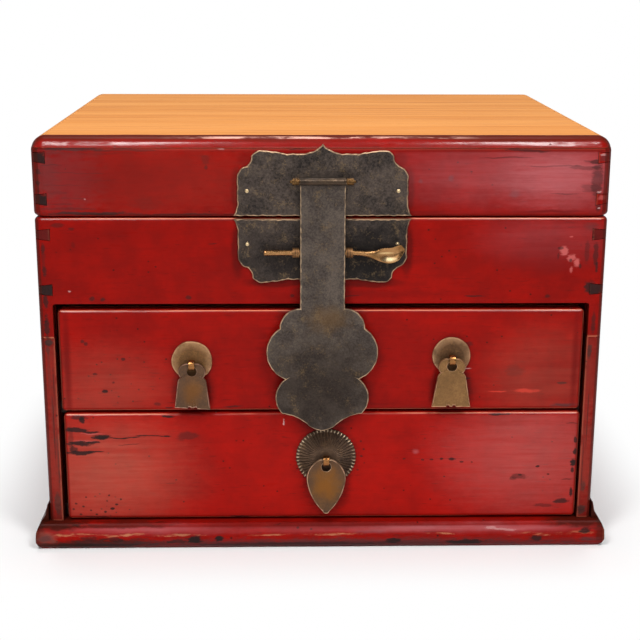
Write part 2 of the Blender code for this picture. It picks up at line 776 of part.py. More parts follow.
def hasp_outline():
    shoulder = math.tan(math.pi / 8)
    return both_halves(
        [
            (0, -HASP_LENGTH, HASP_TIP_BULGE),
            (HASP_TOE, -HASP_TOE_DROP, HASP_TOE_BULGE),
            (HASP_HEEL, -HASP_HEEL_DROP, HASP_LOBE_BULGE),
            (HASP_CUSP_2, -HASP_CUSP_2_DROP, HASP_WING_BULGE),
            (HASP_CUSP_1, -HASP_CUSP_1_DROP, shoulder),
            (HASP_HALF, -HASP_STRAP, 0),
            (HASP_HALF, 0, 0),
        ]
    )


def roll_outline():
    """Section of the strap's top, rolled over the bar, in (forward, up) pairs from the bar's axis."""
    sweep = 180 - ROLL_END_DEG
    count = round(sweep / ARC_STEP_DEG)
    angles = [math.radians(ROLL_END_DEG + sweep * i / count) for i in range(count + 1)]
    outer = [(hasp_roll * math.cos(a), hasp_roll * math.sin(a)) for a in angles]
    inner = [(bar_bore * math.cos(a), bar_bore * math.sin(a)) for a in angles]
    return outer + inner[::-1]


def weld_twins(bm):
    """Joins two solids that share a face, and takes that face out."""
    bmesh.ops.remove_doubles(bm, verts=bm.verts, dist=WELD)
    inner = [face for face in bm.faces if all(len(edge.link_faces) > 2 for edge in face.edges)]
    bmesh.ops.delete(bm, geom=inner, context="FACES_ONLY")
    return bm


def make_hasp(lid_pivot, hasp_pivot):
    end = eyelet_far + HASP_BAR_PROUD
    dome = HASP_BAR / 2
    profile = [(dome, -end), (HASP_BAR, -end + dome), (HASP_BAR, end - dome), (dome, end)]
    finished("hasp_bar", turned_bar(profile, bar_y, bar_z), COPPER_BRASS, lid_pivot)
    bm = sheet(hasp_outline(), hasp_back, HASP, z=bar_z)
    bar(roll_outline(), (-HASP_HALF, HASP_HALF), bar_y, bar_z, bm)
    finished("hasp", weld_twins(bm), DARK_BRONZE, hasp_pivot)


def spoon_edges(t):
    """Top and bottom of the lock pin's handle at a share t of its length: it deepens, then curls up."""
    deepest = SPOON_DEEPEST_SHARE
    top = SPOON_NECK + (SPOON_CURL - SPOON_NECK) * t * t
    if t < deepest:
        ease = (1 - math.cos(math.pi * t / deepest)) / 2
        return top, -SPOON_NECK - (SPOON_DEPTH - SPOON_NECK) * ease
    turn = math.sqrt(max(0, 1 - ((t - deepest) / (1 - deepest)) ** 2))
    return top, SPOON_CURL - (SPOON_CURL + SPOON_DEPTH) * turn


def make_lock_pin(pin_pivot):
    sections = [
        (-LOCK_PIN_TIP, LOCK_PIN - LOCK_PIN_CHAMFER, LOCK_PIN_CHAMFER - LOCK_PIN),
        (-LOCK_PIN_TIP + LOCK_PIN_CHAMFER, LOCK_PIN, -LOCK_PIN),
        (eyelet_far + FIT, LOCK_PIN, -LOCK_PIN),
        (SPOON_START, SPOON_NECK, -SPOON_NECK),
    ]
    for step in range(1, SPOON_SECTIONS + 1):
        t = SPOON_END_SHARE * math.sin(math.pi / 2 * step / SPOON_SECTIONS)
        sections.append((SPOON_START + SPOON_LENGTH * t, *spoon_edges(t)))
    rings = []
    for x, top, bottom in sections:
        tall = (top - bottom) / 2
        deep = min(LOCK_PIN, tall)
        middle = (top + bottom) / 2
        rings.append([(x, pin_y + deep * u, pin_z + middle + tall * v) for u, v in circle(1)])
    finished("lock_pin", loft(rings), COPPER_BRASS, pin_pivot)


def make_lock(panel, lid_front_board, lid_pivot):
    lid_inner = lid_front + LID_BOARD
    lid_edge = lid_bottom + PLATE_MARGIN
    make_plate("lid", lid_front, lid_edge, 1, bar_z, lid_front_board, lid_inner, lid_pivot)
    make_plate("case", case_front, case_top - PLATE_MARGIN, -1, pin_z, panel, panel_back)
    hasp_pivot = pivot("hasp_axis", (0, bar_y, bar_z), lid_pivot)
    pin_pivot = pivot("lock_pin_axis", (0, pin_y, pin_z))
    for word, side in (("left", -1), ("right", 1)):
        x_range = sorted((side * eyelet_near, side * eyelet_far))
        make_cotter(
            f"hasp_eyelet_{word}", x_range, bar_y, bar_z, bar_bore, EYELET_WALL,
            lid_inner, COPPER_BRASS, lid_pivot,
        )
        make_cotter(
            f"pin_eyelet_{word}", x_range, pin_y, pin_z, pin_bore, EYELET_WALL, panel_back, COPPER_BRASS,
        )
    make_hasp(lid_pivot, hasp_pivot)
    make_lock_pin(pin_pivot)


# Drawers
def tail_shape(points, z, grow=0.0):
    """Section of a dovetail tail at a height z, from (y, width) points."""
    low = [(y, z - width / 2 - grow) for y, width in points]
    return low + [(y, z + width / 2 + grow) for y, width in reversed(points)]


def make_drawer(name, x, front_z, box_z, carrier):
    """A drawer of five boards: the front laps its sides' dovetails, and the bottom runs in grooves."""
    half = opening_half - DRAWER_SIDE_GAP
    y_face = case_front
    y_joint = y_face + DRAWER_FRONT
    y_back = inner_back - DRAWER_BACK_GAP
    middle = (front_z[0] + front_z[1]) / 2
    height = front_z[1] - front_z[0]
    rings = []
    for y, inset in [(y_joint, 0)] + [(y_face + drop, inset) for inset, drop in round_edge(DRAWER_ARRIS)]:
        outline = inset_rectangle(2 * half, height, DRAWER_CORNER, inset)
        rings.append([(x + u, y, middle + v) for u, v in outline])
    front = finished(f"{name}_front", loft(rings), RED_LACQUER, carrier)

    bottom_low = box_z[0] + DRAWER_BOTTOM_RISE
    bottom_high = bottom_low + DRAWER_BOTTOM
    groove_half = half - DRAWER_SIDE + DRAWER_GROOVE
    groove_z = (bottom_low - FIT, bottom_high + FIT)
    y_groove = y_joint - DRAWER_GROOVE
    front_groove = box(
        (x - groove_half - FIT, x + groove_half + FIT), (y_groove - FIT, y_joint + OVERSHOOT), groove_z
    )
    cut(front, helper(f"{name}_front_groove", front_groove))
    tail_levels = [bottom_high + TAIL_MARGIN + TAIL_TIP / 2, box_z[1] - TAIL_MARGIN - TAIL_TIP / 2]
    y_tip = y_face + DRAWER_LAP
    for word, side in (("left", -1), ("right", 1)):
        inner = side * (half - DRAWER_SIDE)
        x_range = sorted((x + inner, x + side * half))
        y_root = y_joint + FIT
        board = finished(f"{name}_{word}", box(x_range, (y_root, y_back), box_z), INNER_WOOD, carrier)
        overlap = y_root + DRAWER_SIDE / 2
        tail_points = [(y_tip, TAIL_TIP), (y_root, TAIL_ROOT), (overlap, TAIL_ROOT)]
        hole_points = [(y_tip - FIT, TAIL_TIP), (y_joint + OVERSHOOT, TAIL_ROOT)]
        wide = (x + inner - side * FIT, x + side * (half + OVERSHOOT))
        for i, z in enumerate(tail_levels):
            tail = loft([[(xx, y, zz) for y, zz in tail_shape(tail_points, z)] for xx in x_range])
            join(board, helper(f"{name}_{word}_tail_{i}", tail))
            socket = loft([[(xx, y, zz) for y, zz in tail_shape(hole_points, z, FIT)] for xx in wide])
            cut(front, helper(f"{name}_{word}_socket_{i}", socket))
        x_groove = sorted((x + inner - side * OVERSHOOT, x + inner + side * (DRAWER_GROOVE + FIT)))
        side_groove = box(x_groove, (y_joint - OVERSHOOT, y_back + OVERSHOOT), groove_z)
        cut(board, helper(f"{name}_{word}_groove", side_groove))

    bottom = box((x - groove_half, x + groove_half), (y_groove, y_back), (bottom_low, bottom_high))
    finished(f"{name}_bottom", bottom, INNER_WOOD, carrier)
    back_half = half - DRAWER_SIDE - FIT
    back_z = (bottom_high + FIT, box_z[1] - DRAWER_BACK_DROP)
    back = box((x - back_half, x + back_half), (y_back - DRAWER_BACK, y_back), back_z)
    finished(f"{name}_back", back, INNER_WOOD, carrier)
    return front


# Pulls
def disc_profile(radius):
    return [
        (radius, 0),
        (radius, DISC * DISC_EDGE_SHARE),
        (radius * DISC_ARRIS_SHARE, DISC),
        (radius * DISC_CROWN_SHARE, DISC + DISC_DOME),
    ]


def rosette():
    """A chrysanthemum boss: flutes run in from a scalloped rim to a round middle."""
    rings = []
    for radius, out, flute in (
        (ROSETTE, 0, FLUTE),
        (ROSETTE, ROSETTE_RIM, FLUTE),
        (ROSETTE * ROSETTE_BROW_SHARE, ROSETTE_RIM + ROSETTE_DOME * ROSETTE_BROW_RISE_SHARE, FLUTE),
        (ROSETTE_BOSS, ROSETTE_RIM + ROSETTE_DOME * ROSETTE_BOSS_RISE_SHARE, 0),
        (ROSETTE_BOSS * ROSETTE_CROWN_SHARE, ROSETTE_RIM + ROSETTE_DOME, 0),
    ):
        ring = []
        for i in range(2 * ROSETTE_FLUTES):
            angle = math.pi * i / ROSETTE_FLUTES
            dip = flute if i % 2 else 0
            r = radius - dip
            ring.append((r * math.cos(angle), r * math.sin(angle), max(0, out - dip)))
        rings.append(ring)
    return rings


def bell_outline(length, foot):
    return both_halves(
        [
            (0, -length, 0),
            (BELL_TOOTH, -length, BELL_NOTCH_BULGE),
            (BELL_TOOTH + 2 * BELL_NOTCH, -length, 0),
            (foot, -length, 0),
            (BELL_SHOULDER, -BELL_SHOULDER_DROP, BELL_SHOULDER_BULGE),
            (BELL_NECK, -BELL_NECK_DROP, BELL_NECK_BULGE),
            (BELL_HEAD, -BELL_HEAD_DROP, BELL_HEAD_BULGE),
            (BRIDGE_FLAT, BRIDGE, 0),
            (0, BRIDGE, 0),
        ]
    )


def leaf_outline():
    return both_halves(
        [
            (0, -LEAF_LENGTH, LEAF_TIP_BULGE),
            (LEAF_HALF, -LEAF_WIDEST_DROP, LEAF_HEAD_BULGE),
            (BRIDGE_FLAT, BRIDGE, 0),
            (0, BRIDGE, 0),
        ]
    )


def make_pull(name, x, eye_z, backplate, thickness, outline, front, carrier):
    """A hanging pull: its backplate, its cotter, and its pendant, which swings on the cotter's eye."""
    y_seat = case_front - FIT
    eye_y = y_seat - thickness - FIT - eye
    x_range = (x - EYE_WIDTH / 2, x + EYE_WIDTH / 2)
    joint = case_front + DRAWER_FRONT
    slot = stem_hole(f"{name}_stem", x_range, (eye_y, joint + OVERSHOOT), eye_z)
    cut(backplate, slot)
    cut(front, slot)
    make_cotter(f"{name}_eye", x_range, eye_y, eye_z, EYE_BORE, EYE_WALL, joint, COPPER_BRASS, carrier)
    swing = pivot(f"{name}_axis", (x, eye_y, eye_z), carrier)
    pendant = sheet(outline, eye_y + PENDANT / 2, PENDANT, x, eye_z)
    piece = finished(f"{name}_pendant", pendant, WORN_BRASS, swing)
    hole_z = eye_z - BRIDGE - PENDANT_HOLE
    hole = turned([(PENDANT_HOLE, -PENDANT), (PENDANT_HOLE, PENDANT)], x, eye_y, hole_z)
    cut(piece, helper(f"{name}_hole", hole))


def make_disc_pull(name, x, z, radius, length, foot, front, carrier):
    seat = (x, case_front - FIT, z)
    disc = finished(f"{name}_disc", turned(disc_profile(radius), *seat), WORN_BRASS, carrier, seat)
    make_pull(name, x, z - EYE_DROP, disc, DISC + DISC_DOME, bell_outline(length, foot), front, carrier)


def make_rosette_pull(name, x, z, front, carrier):
    seat = (x, case_front - FIT, z)
    bm = loft([[(x + u, seat[1] - out, z + v) for u, v, out in ring] for ring in rosette()])
    boss = finished(f"{name}_rosette", bm, WORN_BRASS, carrier, seat)
    make_pull(name, x, z, boss, ROSETTE_RIM + ROSETTE_DOME, leaf_outline(), front, carrier)


def make_drawers():
    upper = pivot("upper_drawer_axis", (0, case_front, upper_front_bottom))
    lower = pivot("lower_drawer_axis", (LOWER_DRAWER_SHIFT, case_front, lower_front_bottom))
    upper_box = (divider_high + FIT, upper_front_top - DRAWER_HEADROOM)
    lower_box = (bottom_board_high + FIT, divider_low - DRAWER_HEADROOM)
    upper_front = make_drawer("upper_drawer", 0, (upper_front_bottom, upper_front_top), upper_box, upper)
    lower_z = (lower_front_bottom, lower_front_top)
    lower_front = make_drawer("lower_drawer", LOWER_DRAWER_SHIFT, lower_z, lower_box, lower)

    upper_middle = (upper_front_bottom + upper_front_top) / 2
    lower_middle = (lower_front_bottom + lower_front_top) / 2
    pull_x = PULL_SPACING / 2
    make_disc_pull(
        "left_pull", -pull_x, upper_middle + LEFT_PULL_RISE, LEFT_DISC,
        LEFT_BELL_LENGTH, LEFT_BELL_FOOT, upper_front, upper,
    )
    make_disc_pull(
        "right_pull", pull_x, upper_middle + RIGHT_PULL_RISE, RIGHT_DISC,
        RIGHT_BELL_LENGTH, RIGHT_BELL_FOOT, upper_front, upper,
    )
    lower_x = LOWER_DRAWER_SHIFT + LOWER_PULL_OFFSET
    make_rosette_pull("lower_pull", lower_x, lower_middle + LOWER_PULL_RISE, lower_front, lower)


def main():
    clear_scene()
    make_base()
    panel = make_case()
    lid_pivot = pivot("lid_hinge_axis", (0, hinge_y, hinge_z))
    lid_front_board = make_lid(lid_pivot)
    make_hinges(lid_pivot)
    make_lock(panel, lid_front_board, lid_pivot)
    make_drawers()


main()
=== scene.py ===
# %% [markdown]
# # A red lacquer chest
# The chest's boards and fittings come ready-made as solids, each at its place in one shared frame.
# This file dresses them: it gives every board its worn lacquer, makes the metal fittings again with
# finer edges, and sets up a plain studio with a camera where the photographer stood.

# %% Load the frame
import math
from functools import partial
import bmesh
import bpy
import numpy as np
from mathutils import Matrix, Vector


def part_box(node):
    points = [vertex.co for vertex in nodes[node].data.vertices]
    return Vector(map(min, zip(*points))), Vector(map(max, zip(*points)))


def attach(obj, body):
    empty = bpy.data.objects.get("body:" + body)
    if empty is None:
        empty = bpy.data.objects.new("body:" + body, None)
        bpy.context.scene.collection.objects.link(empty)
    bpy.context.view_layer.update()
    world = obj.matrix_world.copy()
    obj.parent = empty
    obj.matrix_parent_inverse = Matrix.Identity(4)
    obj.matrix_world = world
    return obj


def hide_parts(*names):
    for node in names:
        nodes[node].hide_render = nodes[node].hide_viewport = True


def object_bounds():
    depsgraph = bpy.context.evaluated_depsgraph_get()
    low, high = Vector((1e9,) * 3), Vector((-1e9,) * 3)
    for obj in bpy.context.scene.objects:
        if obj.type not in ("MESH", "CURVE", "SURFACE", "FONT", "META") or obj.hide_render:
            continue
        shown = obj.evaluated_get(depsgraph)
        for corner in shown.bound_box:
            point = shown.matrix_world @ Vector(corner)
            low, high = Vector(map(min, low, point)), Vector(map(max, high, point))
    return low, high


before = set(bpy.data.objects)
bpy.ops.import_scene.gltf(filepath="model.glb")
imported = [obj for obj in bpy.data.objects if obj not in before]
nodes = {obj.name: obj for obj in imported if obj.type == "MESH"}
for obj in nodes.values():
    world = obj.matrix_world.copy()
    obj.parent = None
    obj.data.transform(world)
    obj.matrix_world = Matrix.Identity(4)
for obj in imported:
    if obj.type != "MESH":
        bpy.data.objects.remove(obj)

cad_box = [list(corner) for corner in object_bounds()]

# %% [markdown]
# ## Shader trees as formulas
# A procedural material is a graph of small operations. A field is one result in that graph: a number, a
# vector or a colour that varies over the surface. Arithmetic with fields adds the nodes that do it, so
# that a finish below reads like a formula.

# %% Fields
class Field:
    """One output of a node, with arithmetic."""

    def __init__(self, socket):
        self.socket = socket
        self.tree = socket.id_data

    def __add__(self, other):
        return calculate("ADD", self, other)

    def __sub__(self, other):
        return calculate("SUBTRACT", self, other)

    def __rsub__(self, other):
        return calculate("SUBTRACT", other, self)

    def __mul__(self, other):
        return calculate("MULTIPLY", self, other)

    def __truediv__(self, other):
        return calculate("DIVIDE", self, other)


def put(tree, kind, inputs=None, **settings):
    """Adds a node, sets its options, and links or sets each input."""
    node = tree.nodes.new(kind)
    for key, value in settings.items():
        setattr(node, key, value)
    for key, value in (inputs or {}).items():
        if isinstance(value, Field):
            tree.links.new(value.socket, node.inputs[key])
        else:
            node.inputs[key].default_value = value
    return node


def calculate(operation, *values):
    """One arithmetic step: on numbers, or axis by axis on vectors."""
    fields = [value for value in values if isinstance(value, Field)]
    vectors = any(field.socket.type == "VECTOR" for field in fields)
    kind = "ShaderNodeVectorMath" if vectors else "ShaderNodeMath"
    return Field(put(fields[0].tree, kind, dict(enumerate(values)), operation=operation).outputs[0])

# %% [markdown]
# A few functions give the other steps that finishes are made of: limits, smooth steps, mixed colours and
# cloudy noise.

# %% Steps of a finish
# The smaller and the larger of two values, and a value without its sign.
smaller = partial(calculate, "MINIMUM")
larger = partial(calculate, "MAXIMUM")
unsigned = partial(calculate, "ABSOLUTE")


def length(value):
    """A vector's length."""
    return Field(put(value.tree, "ShaderNodeVectorMath", {0: value}, operation="LENGTH").outputs["Value"])


def split(value):
    """A vector's three axes."""
    return [Field(socket) for socket in put(value.tree, "ShaderNodeSeparateXYZ", {0: value}).outputs]


def step(value, low, high):
    """A smooth step: 0 below low, 1 above high."""
    inputs = {"Value": value, "From Min": low, "From Max": high}
    node = put(value.tree, "ShaderNodeMapRange", inputs, interpolation_type="SMOOTHSTEP")
    return Field(node.outputs["Result"])


def fade(value, low, high):
    """A smooth step turned round: 1 below low, 0 above high."""
    return 1.0 - step(value, low, high)


def mix(factor, a, b):
    """Colour a where factor is 0, colour b where it is 1."""
    return Field(put(factor.tree, "ShaderNodeMix", {0: factor, 6: a, 7: b}, data_type="RGBA").outputs[2])


def noise(place, scale, detail=4.0, roughness=0.55):
    """Cloudy noise around 0.5."""
    inputs = {"Vector": place, "Scale": scale, "Detail": detail, "Roughness": roughness}
    return Field(put(place.tree, "ShaderNodeTexNoise", inputs).outputs["Fac"])


def rgb(red, green, blue):
    """A colour as picked from a screen, 0 to 255, made linear."""
    screen = np.array([red, green, blue]) / 255
    linear = np.where(screen <= 0.04045, screen / 12.92, ((screen + 0.055) / 1.055) ** 2.4)
    return (*linear.tolist(), 1.0)

# %% [markdown]
# A shader group is a small graph with named sockets, so one effect serves many materials. A material adds
# its own shader to what the groups give it: a colour, a roughness and a height for the bump.

# %% Groups and materials
SOCKETS = {"value": "NodeSocketFloat", "vector": "NodeSocketVector", "colour": "NodeSocketColor"}
BUMP_DISTANCE = 0.001


def new_group(name, inputs, outputs):
    """An empty shader group with its sockets, listed by kind: the group, its inputs and its results."""
    group = bpy.data.node_groups.new(name, "ShaderNodeTree")
    for way, kinds in (("INPUT", inputs), ("OUTPUT", outputs)):
        for kind, names in kinds.items():
            for socket in names:
                group.interface.new_socket(name=socket, in_out=way, socket_type=SOCKETS[kind])
    given = {socket.name: Field(socket) for socket in group.nodes.new("NodeGroupInput").outputs}
    return group, given, group.nodes.new("NodeGroupOutput").inputs


def feed(sockets, fields):
    """Links fields to sockets by name."""
    for name, field in fields.items():
        field.tree.links.new(field.socket, sockets[name])


def apply(group, **inputs):
    """Places a group in its inputs' tree, feeds it, and returns its outputs."""
    node = put(inputs["Place"].tree, "ShaderNodeGroup", inputs, node_tree=group)
    return {socket.name: Field(socket) for socket in node.outputs}


def new_material(name):
    """A material with its shader and the object's own coordinates."""
    made = bpy.data.materials.new(name)
    made.use_nodes = True
    tree = made.node_tree
    place = Field(tree.nodes.new("ShaderNodeTexCoord").outputs["Object"])
    return made, tree.nodes["Principled BSDF"], place


def finish_shader(shader, colour, roughness, height, depth):
    """Links the colour, the roughness and a height, as bump, to a shader."""
    inputs = {"Height": height, "Strength": depth, "Distance": BUMP_DISTANCE}
    bump = Field(put(colour.tree, "ShaderNodeBump", inputs).outputs["Normal"])
    feed(shader.inputs, {"Base Color": colour, "Roughness": roughness, "Normal": bump})


def dress(name, made):
    """Gives a CAD node its finish."""
    mesh = nodes[name].data
    mesh.materials.clear()
    mesh.materials.append(made)

# %% [markdown]
# ## How far a point lies from its board's edges
# Lacquer wears first where hands and cloths rub: along the arrises. On a box-shaped board the three
# distances to its pairs of faces tell it all. The smallest is the depth under the nearest face, and the
# middle one is the way to the nearest edge.

# %% Edge distance group
def edge_distance_group():
    """The middle one of the three distances: their sum, less the smallest and the largest."""
    group, given, result = new_group(
        "edge_distance", {"vector": ("Place", "Low", "High")}, {"value": ("Edge",)}
    )
    x, y, z = split(smaller(given["Place"] - given["Low"], given["High"] - given["Place"]))
    least = smaller(smaller(x, y), z)
    most = larger(larger(x, y), z)
    feed(result, {"Edge": x + y + z - least - most})
    return group


EDGE_DISTANCE = edge_distance_group()

# %% [markdown]
# ## Aged lacquer
# Red lacquer is a dozen thin coats over a dark ground. Its colour drifts in broad clouds and in faint
# brush lines along the board, and a darker band, partly grime and partly painted shade, dims it towards the
# edges. Old worm holes dot it. Along an arris the coats are rubbed to a thin warm line and chip away in
# ragged dashes to the dark ground. The warm line is also a painted highlight, brightest where the arris faces
# up.

# %% Aged lacquer group
def lacquer_pits(place, pits):
    """Round dots: the middles of scattered cells, of which more are chosen where pits is high."""
    cells = put(place.tree, "ShaderNodeTexVoronoi", {"Vector": place * (0.8, 0.8, 1.0), "Scale": 270.0})
    drawn = put(place.tree, "ShaderNodeSeparateColor", {0: Field(cells.outputs["Color"])})
    chance, size = [Field(socket) for socket in drawn.outputs[:2]]
    chosen = step(chance + pits * 0.55, 0.955, 0.975)
    far = Field(cells.outputs["Distance"]) - size * size * 0.16
    return fade(far, 0.08, 0.18) * chosen


def aged_lacquer_group():
    """Deep to light red in clouds, then brush lines, grime and painted shade, rubbed arrises with a painted
    highlight, and bare ground over it.
    """
    group, given, result = new_group(
        "aged_lacquer",
        {"vector": ("Place", "Grain"), "value": ("Edge", "Up", "Wear", "Arris", "Pits"),
         "colour": ("Light", "Deep", "Ground", "Bare")},
        {"colour": ("Colour",), "value": ("Roughness", "Height")},
    )
    place, edge, wear = given["Place"], given["Edge"], given["Wear"]
    deep, ground = given["Deep"], given["Ground"]
    along = place * given["Grain"]
    clouds = step(noise(place, 14, 5, 0.6), 0.34, 0.66)
    mottled = step(noise(place, 60, 5, 0.65), 0.36, 0.64)
    colour = mix(clouds * 0.4 + mottled * 0.32 + 0.14, deep, given["Light"])
    brushed = noise(along, 420, 4, 0.6)
    colour = mix(step(brushed, 0.46, 0.72) * 0.35, colour, deep)
    hairlines = step(noise(along, 1000, 4, 0.6), 0.60, 0.72)
    colour = mix(hairlines * 0.4, colour, ground)
    # Darker towards every edge: partly grime and partly painted shade.
    grime = fade(edge + noise(along, 55, 4) * 0.011, 0.0045, 0.0095)
    colour = mix(grime * wear * 0.55, colour, ground)

    rubbed = step(noise(along, 60, 4), 0.36, 0.46)
    # The rubbed line is also a painted highlight, brighter where the arris faces up.
    highlight_facing_up = step(given["Up"], 0.1, 0.5) * 0.65 + 0.35
    line = fade(edge, 0.0007, 0.0013)
    colour = mix(line * rubbed * highlight_facing_up * given["Arris"], colour, given["Bare"])

    dots = lacquer_pits(place, given["Pits"])
    flakes = noise(along, 190, 7, 0.7) + noise(place, 16, 2) * 0.35
    hold = edge * 36.0 + 0.87 - wear * 0.12
    worn = step(flakes - hold, 0.0, 0.03)
    bare = larger(dots * 0.8, worn * 0.92)
    feed(result, {
        "Colour": mix(bare, colour, ground),
        "Roughness": brushed * 0.22 + 0.20 + bare * 0.25,
        "Height": brushed * 0.25 + noise(along, 60, 3) * 0.9 - bare * 0.7,
    })
    return group


AGED_LACQUER = aged_lacquer_group()

# %% [markdown]
# ## A mark at one place
# Knocks, smudges and plugs sit where chance put them. Painted shadows and highlights are marks too. A mark is
# an ellipsoid with a ragged rim, so a board takes as many as it needs, each with its own place, size and
# colour.

# %% Mark group
def mark_group():
    """1 inside an ellipsoid, 0 outside: the distance from its middle as a share of its size, made ragged."""
    group, given, result = new_group(
        "mark", {"vector": ("Place", "Middle", "Size"), "value": ("Rim", "Soft")}, {"value": ("Mask",)}
    )
    far = length((given["Place"] - given["Middle"]) / given["Size"]) + given["Rim"]
    feed(result, {"Mask": fade(far, 1.05 - given["Soft"], 1.1)})
    return group


MARK = mark_group()
print(f"made {len(bpy.data.node_groups)} shader groups for the lacquer")
